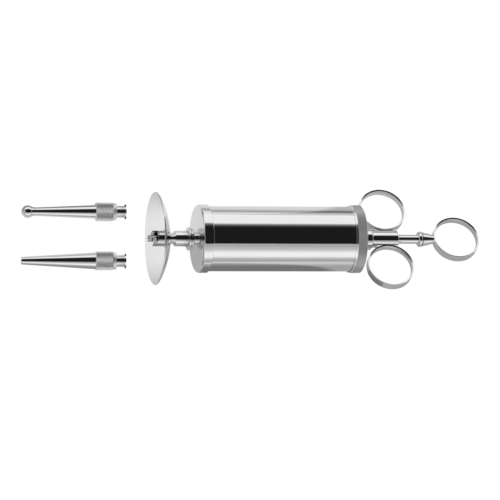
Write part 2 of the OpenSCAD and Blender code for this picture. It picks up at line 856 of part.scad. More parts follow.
// Lock end of an ear tip: a neck with two lugs and a stud in the grip, with the socket through it
module tip_lock() {
  difference() {
    union() {
      bar(grip_stud_d / 2, u_split, u_neck);
      bar(tip_neck_d / 2, u_neck, tip_len);
      intersection() {
        bar(lug_span / 2, u_lock, tip_len);
        translate([u_lock, -lug_span, -lug_w / 2])
          cube([lug_t, 2 * lug_span, lug_w]);
      }
    }
    bar(socket_d / 2, u_split - cut_over, tip_len + cut_over);
  }
}

// Grip of the olive tip
module olive_grip() {
  color(steel) tip_on_table(olive_side, olive_dip, olive_lock_z) tip_grip();
}

// Lock end of the olive tip
module olive_lock() {
  color(chrome) tip_on_table(olive_side, olive_dip, olive_lock_z) tip_lock();
}

// Grip of the cone tip
module cone_grip() {
  color(steel) tip_on_table(-cone_side, cone_dip, cone_lock_z) tip_grip();
}

// Lock end of the cone tip
module cone_lock() {
  color(chrome) tip_on_table(-cone_side, cone_dip, cone_lock_z) tip_lock();
}

barrel_tube();
front_cap();
nozzle_body();
nozzle_nut();
lock_collar();
nozzle_cone();
splash_shield();
shield_ferrule();
cap_gasket();
rear_cap();
rod_guide();
ring_saddle_right();
ring_saddle_left();
finger_ring_right();
finger_ring_left();
front_cup();
rear_cup();
piston_nut();
front_disc();
cup_spreader();
rear_disc();
piston_rod();
ring_stem();
thumb_ring();
olive_ball();
olive_shaft();
olive_grip();
olive_lock();
cone_shaft();
cone_grip();
cone_lock();
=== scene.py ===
import json
import math

import bpy
import numpy as np
from bpy.props import FloatProperty, FloatVectorProperty, IntProperty, PointerProperty
from bpy.types import Operator, Panel, PropertyGroup
from mathutils import Matrix


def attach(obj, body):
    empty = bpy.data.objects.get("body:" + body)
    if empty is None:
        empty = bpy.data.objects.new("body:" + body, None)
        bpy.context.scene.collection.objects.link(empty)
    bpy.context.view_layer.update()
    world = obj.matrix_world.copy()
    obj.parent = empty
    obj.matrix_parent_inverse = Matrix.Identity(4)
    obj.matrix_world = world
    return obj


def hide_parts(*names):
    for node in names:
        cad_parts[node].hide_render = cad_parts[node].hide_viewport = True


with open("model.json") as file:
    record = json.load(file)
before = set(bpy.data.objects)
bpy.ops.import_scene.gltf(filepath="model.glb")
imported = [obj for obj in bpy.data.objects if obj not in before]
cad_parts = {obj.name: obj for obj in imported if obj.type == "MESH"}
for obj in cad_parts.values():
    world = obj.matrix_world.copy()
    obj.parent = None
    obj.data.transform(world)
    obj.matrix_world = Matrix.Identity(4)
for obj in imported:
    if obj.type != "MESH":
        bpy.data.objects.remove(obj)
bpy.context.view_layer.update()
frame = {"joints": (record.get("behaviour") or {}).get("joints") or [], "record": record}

bl_info = {
    "name": "Ear Syringe",
    "version": (1, 0, 0),
    "blender": (4, 5, 0),
    "location": "View3D > Sidebar > Syringe",
    "description": "Chrome ear syringe with finger rings, a splash shield and two ear tips",
    "category": "Add Mesh",
}

MM = 0.001
TURN = 2 * math.pi
PREFIX = "syringe_"

RECORD = frame["record"]
MOUNTS = {mount["name"]: mount for mount in RECORD["mounts"]}
BODY_OF = {
    node: body
    for body, nodes in RECORD["behaviour"]["bodies"].items()
    for node in nodes
}
SLIDE = next(j for j in frame["joints"] if j["name"] == "plunger_slide")["axis"]


# Sizes and colours that a user would change

def size(name, description, millimetres):
    """A length property; its default is given in millimetres and kept in metres."""
    return FloatProperty(
        name=name,
        description=description,
        default=millimetres * MM,
        min=0.0,
        precision=5,
        unit="LENGTH",
    )


def measure(kind):
    """Makes length properties of one kind, such as a radius, from what they measure."""
    def make(part, millimetres):
        name, description = f"{part} {kind}", f"{kind} of the {part}"
        return size(name.capitalize(), description.capitalize(), millimetres)

    return make


radius_of, length_of, thickness_of, width_of, depth_of, height_of = map(
    measure, ("radius", "length", "thickness", "width", "depth", "height")
)


def colour(name, description, default):
    """A colour property, linear."""
    return FloatVectorProperty(
        name=name,
        description=description,
        default=default,
        size=3,
        min=0.0,
        max=1.0,
        subtype="COLOR",
    )


def share(name, description, default, top=1.0):
    """A plain number from nought to top."""
    return FloatProperty(
        name=name, description=description, default=default, min=0.0, max=top, subtype="FACTOR"
    )


class BarrelSizes(PropertyGroup):
    """Sizes of the barrel tube and its front cap."""

    radius: size("Barrel radius", "Outside radius of the tube", 20)
    wall: size("Barrel wall", "Wall of the tube", 1)
    length: length_of("tube", 99.7)
    thread_len: size("Thread length", "Length of the thread at the rear end", 4)
    thread_depth: depth_of("thread", 0.35)
    pitch: size("Pitch", "Pitch of the thread", 0.8)
    cap_radius: size("Cap radius", "Outside radius of the front cap", 20.95)
    cap_plate: thickness_of("front cap's end plate", 1.25)
    cap_skirt: size("Cap skirt", "Length of the front cap's skirt over the tube", 5.55)
    cap_dome: height_of("end plate's dome", 0.5)
    cap_round: radius_of("front cap's corner", 1.5)


class NozzleSizes(PropertyGroup):
    """Sizes of the turned nozzle, the lock collar and the cone."""

    bore: radius_of("bore", 1.5)
    neck_r: size("Neck", "Radius of the neck at the front cap", 4.05)
    neck_len: length_of("neck", 2.15)
    bead_r: radius_of("rear bead", 6.6)
    bead_len: thickness_of("rear bead", 1.6)
    flange_r: radius_of("flange", 7.3)
    flange_len: thickness_of("flange", 1.6)
    sleeve_r: radius_of("sleeve", 4.85)
    sleeve_len: length_of("sleeve", 8.05)
    waist_r: radius_of("waist", 2.75)
    waist_cone: size("Waist cone", "Length of the cone on each side of the waist", 1.7)
    stud_r: size("Stud", "Radius of the stud through the front cap", 3.5)
    nut_af: size("Nut", "Width of the nut across its flats", 11)
    nut_len: thickness_of("nut", 1.8)
    collar_r: radius_of("lock collar", 4.85)
    collar_bore: radius_of("collar's bore", 4.05)
    collar_len: size("Collar length", "Length of the collar in front of its seat", 10.5)
    collar_depth: depth_of("collar's bore", 8)
    seat_h: size("Seat", "Height of the seat that stops the shield", 0.3)
    seat_len: length_of("seat", 0.35)
    slot_depth: depth_of("lock slots", 3.2)
    slot_w: width_of("lock slots", 4.7)
    slot_leg: width_of("slot's turned part", 1.2)
    cone_tip_r: size("Cone tip", "Radius of the nozzle cone at its tip", 1.97)
    cone_bore: radius_of("cone's bore", 0.6)
    cone_proud: size("Cone proud", "How far the cone stands out of the collar", 3)
    cone_grow: share("Cone taper", "Growth of the cone's radius over its length", 0.03)
    inner_stud: size("Inner stud", "Radius of the studs inside the joints", 2)


class ShieldSizes(PropertyGroup):
    """Sizes of the splash shield and its ferrule."""

    radius: radius_of("shield's rim", 28.5)
    sphere: radius_of("shield's convex back", 55.5)
    thick: thickness_of("shield", 0.8)
    ferrule_bore: radius_of("ferrule's bore", 4.9)
    ferrule_r: radius_of("ferrule", 5.5)
    rim_r: radius_of("ferrule's rim", 6.1)
    rim_len: size("Rim thickness", "Thickness of that rim", 0.7)
    ferrule_len: length_of("ferrule", 3.2)


class RearSizes(PropertyGroup):
    """Sizes of the rear cap, the rod guide and the finger rings' saddles."""

    bore: radius_of("rear cap's bore", 20.05)
    radius: size("Cap radius", "Radius over the knurl", 21.05)
    length: length_of("rear cap", 7)
    plate: size("Cap plate", "Thickness of its end plate", 2)
    lip_len: size("Lip", "Length of the plain lip in front of the knurl", 1)
    knurl_h: depth_of("diamond knurl", 0.3)
    knurl_pitch: size("Knurl pitch", "Distance between diamonds along the cap", 1.66)
    knurl_count: IntProperty(
        name="Knurl count", description="Diamonds around the rear cap", default=88, min=12
    )
    gasket: thickness_of("gasket", 0.8)
    gasket_w: width_of("gasket", 2.9)
    guide_r: radius_of("rod guide", 5.4)
    guide_len: size("Guide length", "Length of the guide behind the cap", 24.2)
    foot_r: radius_of("guide's foot", 6.7)
    foot_len: length_of("foot", 6.9)
    stud_r: size("Stud", "Radius of the guide's stud in the cap", 4.4)
    saddle_len: size("Saddle length", "Length of the saddle under a finger ring", 13.8)
    saddle_w: width_of("saddle", 3.6)
    saddle_h: size("Saddle height", "Height of the saddle over the guide", 1.7)


class RingSizes(PropertyGroup):
    """Sizes of the finger rings and the thumb ring."""

    bore: size("Ring bore", "Inside radius of a ring at its crown", 13.3)
    wall: size("Ring wall", "Thickness of a ring at its middle", 1.3)
    edge: size("Ring edge", "Thickness of a ring at its sides", 1)
    width: size("Ring width", "Width of a ring's flat outside", 5.2)
    bevel: size("Ring slope", "How far each side face slopes in towards the hole", 0.35)


class PlungerSizes(PropertyGroup):
    """Sizes of the piston, the rod and the thumb ring's stem."""

    gap: size("Piston gap", "Gap between the piston and the nozzle's nut", 2)
    nut_len: size("Nut", "Thickness of the nut that clamps the piston", 2.5)
    nut_af: size("Nut width", "Width of that nut across its flats", 10)
    disc: thickness_of("metal discs", 1.2)
    spreader: size("Spreader", "Thickness of the disc between the cups", 1.6)
    web: size("Cup web", "Thickness of a cup's web", 1.2)
    cup_lip: size("Cup lip", "Thickness of a cup's lip", 1.35)
    cup_len: size("Cup length", "Length of a cup", 3.5)
    stud_r: radius_of("rod's front stud", 2)
    rod_r: radius_of("piston rod", 2.8)
    stem_gap: size("Stem gap", "Distance from the guide to the stem", 13)
    bead_r: radius_of("stem's bead", 4.85)
    bead_len: thickness_of("bead", 2.9)
    cone_len: length_of("stem's cone", 8.2)
    cone_r: size("Cone", "Radius of the cone behind the bead", 4.45)
    end_r: size("Cone end", "Radius of the cone at the ring", 2.5)
    stem_stud_r: radius_of("rod's rear stud", 1.7)
    stem_stud_len: size("Rear stud length", "Length of that stud", 6)


class TipSizes(PropertyGroup):
    """Sizes of the two loose ear tips."""

    length: size("Tip length", "Length of an ear tip", 64.5)
    olive_r: radius_of("olive", 3.9)
    hole_r: size("Olive hole", "Radius of the hole in the olive", 0.9)
    waist_r: size("Waist", "Radius of the olive's shaft at its thinnest place", 2.675)
    waist: size("Waist place", "Distance of that place from the olive's front", 10.5)
    flare: size("Flare", "How much thicker the shaft is at the olive", 0.65)
    root_r: size("Olive root", "Radius of the olive's shaft at the grip", 4.2)
    front_r: size("Cone front", "Radius of the cone tip at its front", 2.35)
    cone_root_r: size("Cone root", "Radius of the cone tip at the grip", 5.15)
    bore: radius_of("bore", 1.2)
    grip_r: radius_of("grip", 5.75)
    grip_len: length_of("grip", 11)
    grip_bevel: size("Grip bevel", "Bevel of the grip's edges", 0.5)
    step_r: size("Step", "Radius of the step behind the grip", 5.25)
    step_len: length_of("step", 1.8)
    neck_r: size("Neck", "Radius of the neck that enters the collar", 3.7)
    neck_len: length_of("neck", 5.15)
    lug_r: size("Lug", "Radius over the two lugs", 4.8)
    lug_w: size("Lug width", "Width of a lug", 4.4)
    lug_t: size("Lug thickness", "Thickness of a lug", 0.9)
    socket_r: radius_of("socket", 2.1)
    stud_r: size("Grip stud", "Radius of the studs inside the grip", 3.2)
    ridge: depth_of("grip's straight knurl", 0.17)
    ridge_count: IntProperty(
        name="Ridge count", description="Ridges around a grip", default=72, min=12
    )


class Finishes(PropertyGroup):
    """Colours of the metals, the rubber and the fibre."""

    chrome: colour("Chrome", "Polished chrome plate", (0.80, 0.80, 0.80))
    knurled: colour("Knurled chrome", "Chrome plate over a knurl", (0.72, 0.72, 0.72))
    brass: colour("Brass", "Turned brass inside the barrel", (0.74, 0.55, 0.26))
    rubber: colour("Rubber", "Piston cups", (0.045, 0.045, 0.047))
    fibre: colour("Fibre", "Gasket of the rear cap", (0.28, 0.13, 0.07))


class StageSizes(PropertyGroup):
    """Camera and light of the stage."""

    distance: size("Camera distance", "From the camera to the barrel", 2763)
    lens: FloatProperty(name="Lens", description="Focal length on a 36 mm sensor", default=324.0)
    elevation: FloatProperty(
        name="Elevation",
        description="Height of the camera over the table, seen from the nozzle's side",
        default=math.radians(79.23),
        unit="ROTATION",
    )
    aside: size("Camera aside", "How far beside the axis the camera looks", 6.88)
    roll: FloatProperty(
        name="Roll", description="Turn of the camera about its view", default=math.radians(0.15),
        unit="ROTATION",
    )
    soft_light: share("Soft light", "Brightness of the two soft boxes", 0.56, 4.0)
    room: share("Room", "Brightness of the room in the metal", 0.6, 4.0)
    fill: share("Fill", "Light of the room on matt surfaces", 0.9, 4.0)


def settings(*groups):
    """The scene's values of one group, or of several in their order."""
    found = [getattr(bpy.context.scene, PREFIX + group) for group in groups]
    return found if len(found) > 1 else found[0]


# Turning axes

def unit(vector):
    """The vector at length one."""
    vector = np.asarray(vector, float)
    return vector / np.linalg.norm(vector)


class TurningAxis:
    """An axis that pieces are turned about: a zero point, a direction and two across it."""

    def __init__(self, zero, along, side=(0.0, 1.0, 0.0)):
        self.zero = np.asarray(zero, float)
        self.along = unit(along)
        side = np.asarray(side, float)
        self.side = unit(side - self.along * (side @ self.along))
        self.up = np.cross(self.along, self.side)

    def points(self, place, across, height):
        """Points at a place along the axis and two distances across it, as whole arrays."""
        return (
            self.zero
            + place[..., None] * self.along
            + across[..., None] * self.side
            + height[..., None] * self.up
        )

    def at(self, place):
        """The point on the axis at a place."""
        return self.zero + place * self.along


def mount_place(mount):
    """A mount's middle."""
    return np.array(MOUNTS[mount]["pos_m"])


def syringe_axis():
    """The syringe's axis; its zero is the front end of the barrel tube."""
    return TurningAxis(mount_place("nozzle") - np.array(SLIDE) * tip_place(), SLIDE)


def ear_tip_axis(mount):
    """A loose tip's axis; its zero is the tip's front end and its mount is the socket's middle."""
    middle = settings("tip").length - MOUNTS[mount]["dims"]["length_mm"] * MM / 2
    along = unit(MOUNTS[mount]["axis"])
    return TurningAxis(mount_place(mount) - along * middle, along)


def ring_axis(mount):
    """A ring's own axis; its side points towards the syringe's zero."""
    centre = mount_place(mount)
    return TurningAxis(centre, MOUNTS[mount]["axis"], syringe_axis().zero - centre)


# Places along the syringe, in metres behind the barrel's front end

FACE_GAP = 0.05 * MM


def cap_face():
    """Front face of the front cap."""
    return -settings("barrel").cap_plate


def waist_place():
    """Place of the waist between the sleeve and the collar."""
    nozzle = settings("nozzle")
    lengths = nozzle.neck_len + nozzle.bead_len + nozzle.flange_len + nozzle.sleeve_len
    return cap_face() - lengths - nozzle.waist_cone


def flare_place():
    """Place where the cone in front of the waist meets the collar's seat."""
    return waist_place() - settings("nozzle").waist_cone


def seat_place():
    """Front of the seat that stops the shield."""
    return flare_place() - settings("nozzle").seat_len


def collar_front():
    """Front end of the lock collar."""
    return seat_place() - settings("nozzle").collar_len


def tip_place():
    """Place of the nozzle cone's tip."""
    return collar_front() - settings("nozzle").cone_proud


def rear_face():
    """Rear face of the rear cap."""
    barrel, rear = settings("barrel", "rear")
    return barrel.length + 2 * FACE_GAP + rear.gasket + rear.plate


def stem_place():
    """Front of the thumb ring's stem."""
    return rear_face() + settings("rear").guide_len + settings("plunger").stem_gap


# Outlines and surfaces

GUARD = 0.03 * MM
SAME_POINT = 1e-7
CORNER_REACH = 0.5 * MM
CORNER_BEND = 1.2  # radians of bend that count in full
CREASE_REACH = 0.3 * MM
FULL_GROOVE = 0.3 * MM
BRUSHED_FADE = 0.5 * MM


def arc(centre_r, centre_s, radius, start, end, steps=8):
    """Points of an arc about [radius, place], with its angles in degrees."""
    a = np.radians(np.linspace(start, end, steps + 1))
    return np.stack([centre_r + radius * np.cos(a), centre_s + radius * np.sin(a)], 1)


def at_radius(radius, places):
    """Points of one radius at several places."""
    return np.stack([np.full(len(places), radius), places], 1)


def half_round(top_r, start, end, steps=16):
    """A half circle between two places whose top is at a radius."""
    half = (end - start) / 2
    return arc(top_r - half, (start + end) / 2, half, -90, 90, steps)


def fillet(before, corner, after, radius, steps):
    """An arc that touches both sides of a corner, at most as long as the sides allow."""
    a, b = before - corner, after - corner
    la, lb = np.linalg.norm(a), np.linalg.norm(b)
    a, b = a / la, b / lb
    half = math.acos(max(-1.0, min(1.0, float(a @ b)))) / 2
    reach = min(radius / math.tan(half), 0.48 * la, 0.48 * lb)
    centre = corner + unit(a + b) * reach / math.cos(half)
    start, end = corner + a * reach - centre, corner + b * reach - centre
    turn = math.pi - 2 * half
    t = np.linspace(0, 1, steps + 1)[:, None]
    return centre + (np.sin((1 - t) * turn) * start + np.sin(t * turn) * end) / math.sin(turn)


def outline(*items, steps=4, closed=True):
    """An outline of corners and arcs.

    A corner is (radius, place) or (radius, place, fillet) and an arc is an array of points.
    Each straight side gets a guard point near both ends, which keeps its shading flat.
    """
    groups = []
    count = len(items)
    for i, item in enumerate(items):
        if isinstance(item, np.ndarray):
            groups.append(item)
            continue
        corner = np.array(item[:2], float)
        inner = closed or 0 < i < count - 1
        if len(item) < 3 or item[2] <= 0 or not inner:
            groups.append(corner[None])
            continue
        before, after = items[i - 1], items[(i + 1) % count]
        before = before[-1] if isinstance(before, np.ndarray) else np.array(before[:2], float)
        after = after[0] if isinstance(after, np.ndarray) else np.array(after[:2], float)
        groups.append(fillet(before, corner, after, item[2], steps))
    points = []
    for i, group in enumerate(groups):
        points.append(group)
        if i == count - 1 and not closed:
            break
        start, end = group[-1], groups[(i + 1) % count][0]
        span = np.linalg.norm(end - start)
        if span > 5 * GUARD:
            way = (end - start) / span * GUARD
            points.append(np.stack([start + way, end - way]))
    return dedupe(np.concatenate(points), closed)


def dedupe(points, closed):
    """The points without those that fall on the one before."""
    step = np.linalg.norm(points - np.roll(points, 1, axis=0), axis=1)
    keep = step > SAME_POINT
    if not closed:
        keep[0] = True
    return points[keep]


def hollows(profile, closed):
    """How deep in a corner each point lies, and how near an outer edge, both from 0 to 1.

    A corner's angle counts in full at the corner and fades over the reach.
    """
    before = profile - np.roll(profile, 1, axis=0)
    after = np.roll(profile, -1, axis=0) - profile
    cross = before[:, 0] * after[:, 1] - before[:, 1] * after[:, 0]
    turn = np.arctan2(cross, (before * after).sum(1))
    if not closed:
        turn[0] = turn[-1] = 0
    far = np.linalg.norm(profile[:, None] - profile[None], axis=2)
    near = np.exp(-far / CORNER_REACH)
    bent = lambda amount: np.clip((near * amount[None]).sum(1) / CORNER_BEND, 0, 1)
    return bent(np.clip(-turn, 0, None)), bent(np.clip(turn, 0, None))


def add_object(name, data):
    """An object of the scene with a mesh, a lamp or a camera in it."""
    made = bpy.data.objects.new(name, data)
    bpy.context.scene.collection.objects.link(made)
    return made


def new_mesh(name, points, quads, triangles=None, sharp=38, **values):
    """A smooth mesh from a grid of points and its faces; values become vertex attributes."""
    triangles = np.zeros((0, 3), np.int32) if triangles is None else triangles
    points = points.reshape(-1, 3)
    corners = np.concatenate([quads.ravel(), triangles.ravel()]).astype(np.int32)
    starts = np.concatenate(
        [np.arange(len(quads)) * 4, len(quads) * 4 + np.arange(len(triangles)) * 3]
    ).astype(np.int32)
    mesh = bpy.data.meshes.new(name)
    mesh.vertices.add(len(points))
    mesh.vertices.foreach_set("co", points.astype(np.float32).ravel())
    mesh.loops.add(len(corners))
    mesh.loops.foreach_set("vertex_index", corners)
    mesh.polygons.add(len(starts))
    mesh.polygons.foreach_set("loop_start", starts)
    mesh.update(calc_edges=True)
    mesh.shade_smooth()
    mesh.set_sharp_from_angle(angle=math.radians(sharp))
    for key, value in values.items():
        layer = mesh.attributes.new(key, "FLOAT", "POINT")
        layer.data.foreach_set("value", np.ascontiguousarray(value, np.float32).ravel())
    return add_object(name, mesh)


def grid_quads(rows, columns, closed):
    """Quads of a grid that wraps around its columns, and around its rows when closed."""
    i = np.arange(rows if closed else rows - 1)[:, None]
    j = np.arange(columns)[None]
    low, high = i * columns, (i + 1) % rows * columns
    right = (j + 1) % columns
    return np.stack([low + j, low + right, high + right, high + j], 2).reshape(-1, 4)


def poled(name, points, crease, edge, depth, sharp):
    """A grid closed by one point at its first row and one at its last."""
    rows, columns = points.shape[:2]
    inner = points[1:-1].reshape(-1, 3)
    first, last = len(inner), len(inner) + 1
    j = np.arange(columns)
    right = (j + 1) % columns
    end = (rows - 3) * columns
    triangles = np.concatenate([
        np.stack([np.full(columns, first), right, j], 1),
        np.stack([end + j, end + right, np.full(columns, last)], 1),
    ])
    cut = lambda value: np.append(value[1:-1].ravel(), [value[0, 0], value[-1, 0]])
    return new_mesh(
        name, np.vstack([inner, points[0, :1], points[-1, :1]]),
        grid_quads(rows - 2, columns, False), triangles, sharp,
        crease=cut(crease), edge=cut(edge), groove=cut(depth),
    )


def signed_area(profile):
    """Twice the area inside an outline, negative where its outside runs towards the rear."""
    r, s = profile[:, 0], profile[:, 1]
    return float((s * np.roll(r, -1) - np.roll(s, -1) * r).sum())


def settle(piece, node, finish="chrome"):
    """Puts a piece in its node's place: its body and its material; the node's own mesh is hidden."""
    piece.data.materials.append(material(finish))
    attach(piece, BODY_OF[node])
    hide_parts(node)


def lathe(
    name, node, profile, columns=192, finish="chrome", axis=None,
    shape=None, closed=True, creases=(), sharp=38, brushed_r=0.0,
):
    """A piece turned about the syringe's axis, or another, in its node's place.

    Point (i, j) lies at the profile's radius i, turned by j / columns of a circle, at the
    profile's place i. shape(radius, place, angle) may change the radius over the surface.
    An open profile starts and ends on the axis and is closed there by a pole.
    A closed one is brushed inside a radius.
    """
    if signed_area(profile) > 0:
        profile = profile[::-1]
    angle = TURN * np.arange(columns) / columns
    radius, angle = np.broadcast_arrays(profile[:, :1], angle[None])
    place = np.broadcast_to(profile[:, 1:], radius.shape)
    full = radius
    if shape is not None:
        radius = shape(radius, place, angle)
    axis = axis or syringe_axis()
    points = axis.points(place, radius * np.cos(angle), radius * np.sin(angle))
    # crease carries painted shade: the materials darken a surface in its corners and, through
    # creases, where another part meets it, and make it rougher there.
    crease, edge = hollows(profile, closed)
    for corner in creases:
        far = np.linalg.norm(profile - corner, axis=1)
        crease = crease + 0.6 * np.exp(-far / CREASE_REACH)
    spread = lambda value: np.broadcast_to(np.clip(value, 0, 1)[:, None], radius.shape)
    depth = np.clip((full - radius) / FULL_GROOVE, 0, 1)
    if closed:
        piece = new_mesh(
            name, points, grid_quads(len(profile), columns, True), sharp=sharp,
            crease=spread(crease), edge=spread(edge), groove=depth,
            brushed=spread((brushed_r - profile[:, 0]) / BRUSHED_FADE),
        )
    else:
        piece = poled(name, points, spread(crease), spread(edge), depth, sharp)
    settle(piece, node, finish)


# Shader maths

class Wire:
    """A value in a material; sums and products of wires add Math nodes."""

    def __init__(self, shop, socket):
        self.shop = shop
        self.socket = socket

    def math(self, operation, first, second=None, third=None):
        values = [v for v in (first, second, third) if v is not None]
        return self.shop.add("Math", {"operation": operation}, values)

    def __add__(self, other):
        return self.math("ADD", self, other)

    def __sub__(self, other):
        return self.math("SUBTRACT", self, other)

    def __rsub__(self, other):
        return self.math("SUBTRACT", other, self)

    def __mul__(self, other):
        return self.math("MULTIPLY", self, other)

    __radd__ = __add__
    __rmul__ = __mul__

    def step(self, low, high, start=0.0, end=1.0):
        """Runs smoothly from start to end while this value runs from low to high."""
        return self.shop.add(
            "MapRange", {"interpolation_type": "SMOOTHSTEP"}, [self, low, high, start, end]
        )


class Shop:
    """The node tree of a material or a world, and the one way to add a node to it."""

    def __init__(self, name, kind="materials"):
        self.owner = getattr(bpy.data, kind).new(name)
        self.owner.use_nodes = True
        self.tree = self.owner.node_tree
        self.tree.nodes.clear()
        self.coords = self.add("TexCoord", out="Object") if kind == "materials" else None

    def add(self, kind, settings=None, values=(), out=0):
        """Adds a node: its settings first, then the values or links of its sockets."""
        node = self.tree.nodes.new("ShaderNode" + kind)
        for key, value in (settings or {}).items():
            setattr(node, key, value)
        pairs = values.items() if isinstance(values, dict) else enumerate(values)
        for key, value in pairs:
            if isinstance(value, Wire):
                self.tree.links.new(value.socket, node.inputs[key])
            elif value is not None:
                node.inputs[key].default_value = value
        return Wire(self, node.outputs[out])

    def place(self, axis):
        """One coordinate of the point on the surface."""
        return self.add("SeparateXYZ", None, [self.coords], out=axis)

    def ray(self, kind):
        """Whether the light path is of a kind."""
        return self.add("LightPath", out="Is %s Ray" % kind)

    def attribute(self, name):
        """The value that a piece's vertices carry under a name."""
        return self.add("Attribute", {"attribute_name": name}, out="Fac")

    def noise(self, scale, detail=2.0, stretch=None, turn=None):
        """Noise of a scale per metre, stretched along the axes and turned."""
        where = self.coords
        if stretch or turn:
            where = self.add(
                "Mapping", None,
                {"Vector": where, "Rotation": turn or (0, 0, 0), "Scale": stretch or (1, 1, 1)},
            )
        return self.add("TexNoise", None, {"Vector": where, "Scale": scale, "Detail": detail})

    def blend(self, amount, first, second):
        """Mixes two colours."""
        return self.add(
            "Mix", {"data_type": "RGBA"}, {0: amount, 6: first, 7: second}, out=2
        )

    def finish(self, colour, roughness, metallic, height=None, distance=0.0, **fixed):
        """Joins the values into the material's surface."""
        values = {"Base Color": colour, "Roughness": roughness, "Metallic": metallic}
        values.update({key.replace("_", " "): value for key, value in fixed.items()})
        if height is not None:
            values["Normal"] = self.add(
                "Bump", None, {"Strength": 1.0, "Distance": distance, "Height": height}
            )
        return self.output(self.add("BsdfPrincipled", None, values))

    def output(self, surface):
        """Ends the tree in a surface or a background; returns the material or the world."""
        kind = "Material" if self.coords else "World"
        output = self.tree.nodes.new("ShaderNodeOutput" + kind)
        self.tree.links.new(surface.socket, output.inputs["Surface"])
        return self.owner


def rgba(finish, light=1.0):
    """A finish's colour with its alpha, made lighter or darker."""
    return tuple(c * light for c in getattr(settings("finishes"), finish)) + (1.0,)


def hairlines(shop, turns, scale, thin):
    """Fine scratches: the narrow middle of stretched noise, in several directions."""
    total = None
    for turn in turns:
        streak = shop.noise(scale, 1.0, (0.03, 1.0, 1.0), turn)
        line = (streak - 0.5) * (1 / thin)
        line = 1 - line * line
        line = line.math("MAXIMUM", line, 0.0)
        total = line if total is None else total + line
    return total


def chrome_material():
    """Polished chrome plate: clean, with fine scratches, faint smears and painted shade that dims
    its corners.
    """
    shop = Shop("polished_chrome")
    smear = shop.noise(45.0, 3.0)
    grain = shop.noise(2600.0, 2.0)
    crease = shop.attribute("crease")
    scratch = hairlines(shop, [(0.3, 0.1, 0.5), (0.9, 0.4, 2.1)], 700.0, 0.012)
    patch = smear.step(0.45, 0.75)
    corner_shade_mask = crease.step(0.35, 1.0)
    tone = shop.blend(patch * 0.5, rgba("chrome"), rgba("chrome", 0.96))
    # Painted shade: corners and the places where another part meets this one are darkened to 0.45 of
    # the chrome; the same mask makes them rougher.
    tone = shop.blend(corner_shade_mask * 0.55, tone, rgba("chrome", 0.45))
    brushed = shop.attribute("brushed")
    rough = patch * 0.02 + corner_shade_mask * 0.18 + scratch * 0.03 + grain * 0.02 + brushed * 0.17 + 0.03
    return shop.finish(tone, rough, 1.0, scratch * -1.0 + grain * 0.3, 0.4e-6)


def knurled_material():
    """Chrome plate over the diamond knurl: rougher in its pits, with painted shade in its pits and
    corners, and lighter chrome on its points.
    """
    shop = Shop("knurled_chrome")
    groove = shop.attribute("groove")
    grain = shop.noise(3500.0, 3.0)
    crease = shop.attribute("crease").step(0.35, 1.0)
    pit = groove.step(0.5, 0.9)
    # Painted shade: the knurl's pits darken to 0.12 of the knurled colour and its corners to 0.4,
    # while the points keep a lighter chrome.
    tone = shop.blend(pit * 0.85, rgba("chrome", 1.1), rgba("knurled", 0.12))
    tone = shop.blend(crease * 0.5, tone, rgba("knurled", 0.4))
    rough = grain * 0.08 + pit * 0.25 + 0.08
    return shop.finish(tone, rough, 1.0, grain, 1.5e-6)


def grip_material():
    """Satin chrome of the straight-knurled grips, lighter on the ridges, with painted shade in the
    grooves and corners.
    """
    shop = Shop("satin_chrome")
    groove = shop.attribute("groove")
    grain = shop.noise(2800.0, 3.0)
    crease = shop.attribute("crease").step(0.35, 1.0)
    # Painted light and shade: the ridges are a lighter copy of the knurled colour and the grooves a
    # darker one; corners darken further.
    tone = shop.blend(groove * 0.6, rgba("knurled", 1.32), rgba("knurled", 0.66))
    tone = shop.blend(crease * 0.5, tone, rgba("knurled", 0.4))
    rough = grain * 0.08 + groove * 0.05 + 0.48
    return shop.finish(tone, rough, 1.0, grain, 1.2e-6)


def brass_material():
    """Turned brass, a little tarnished, with painted shade in its corners."""
    shop = Shop("turned_brass")
    tarnish = shop.noise(160.0, 4.0).step(0.4, 0.75)
    grain = shop.noise(2400.0, 3.0)
    crease = shop.attribute("crease").step(0.3, 1.0)
    tone = shop.blend(tarnish * 0.5, rgba("brass"), (0.45, 0.29, 0.12, 1.0))
    # Painted shade: the brass darkens to a deep brown in its corners.
    tone = shop.blend(crease * 0.6, tone, (0.16, 0.10, 0.05, 1.0))
    rough = grain * 0.12 + tarnish * 0.12 + 0.2
    return shop.finish(tone, rough, 1.0, grain, 2e-6)


def rubber_material():
    """Matt black rubber with a fine grain and worn, paler edges."""
    shop = Shop("cup_rubber")
    grain = shop.noise(3200.0, 4.0)
    bloom = shop.noise(220.0, 3.0).step(0.45, 0.8)
    edge = shop.attribute("edge").step(0.4, 1.0)
    tone = shop.blend(bloom * 0.4 + edge * 0.3, rgba("rubber"), (0.11, 0.11, 0.11, 1.0))
    rough = bloom * 0.15 + grain * 0.15 + 0.55
    return shop.finish(tone, rough, 0.0, grain, 8e-6)


def fibre_material():
    """Pressed red-brown fibre with short strands."""
    shop = Shop("pressed_fibre")
    strand = shop.noise(2200.0, 4.0, (1.0, 0.25, 0.25), (0.2, 0.5, 0.3))
    blot = shop.noise(300.0, 3.0)
    tone = shop.blend(strand.step(0.35, 0.7), rgba("fibre", 0.7), rgba("fibre", 1.35))
    tone = shop.blend(blot.step(0.5, 0.8) * 0.4, tone, rgba("fibre", 0.5))
    return shop.finish(tone, strand * 0.2 + 0.65, 0.0, strand, 12e-6)


MATERIALS = {
    "chrome": chrome_material,
    "knurled": knurled_material,
    "grip": grip_material,
    "brass": brass_material,
    "rubber": rubber_material,
    "fibre": fibre_material,
}
MADE = {}


def material(kind):
    """The material of a kind, made at its first use."""
    if kind not in MADE:
        MADE[kind] = MATERIALS[kind]()
    return MADE[kind]


# Pieces

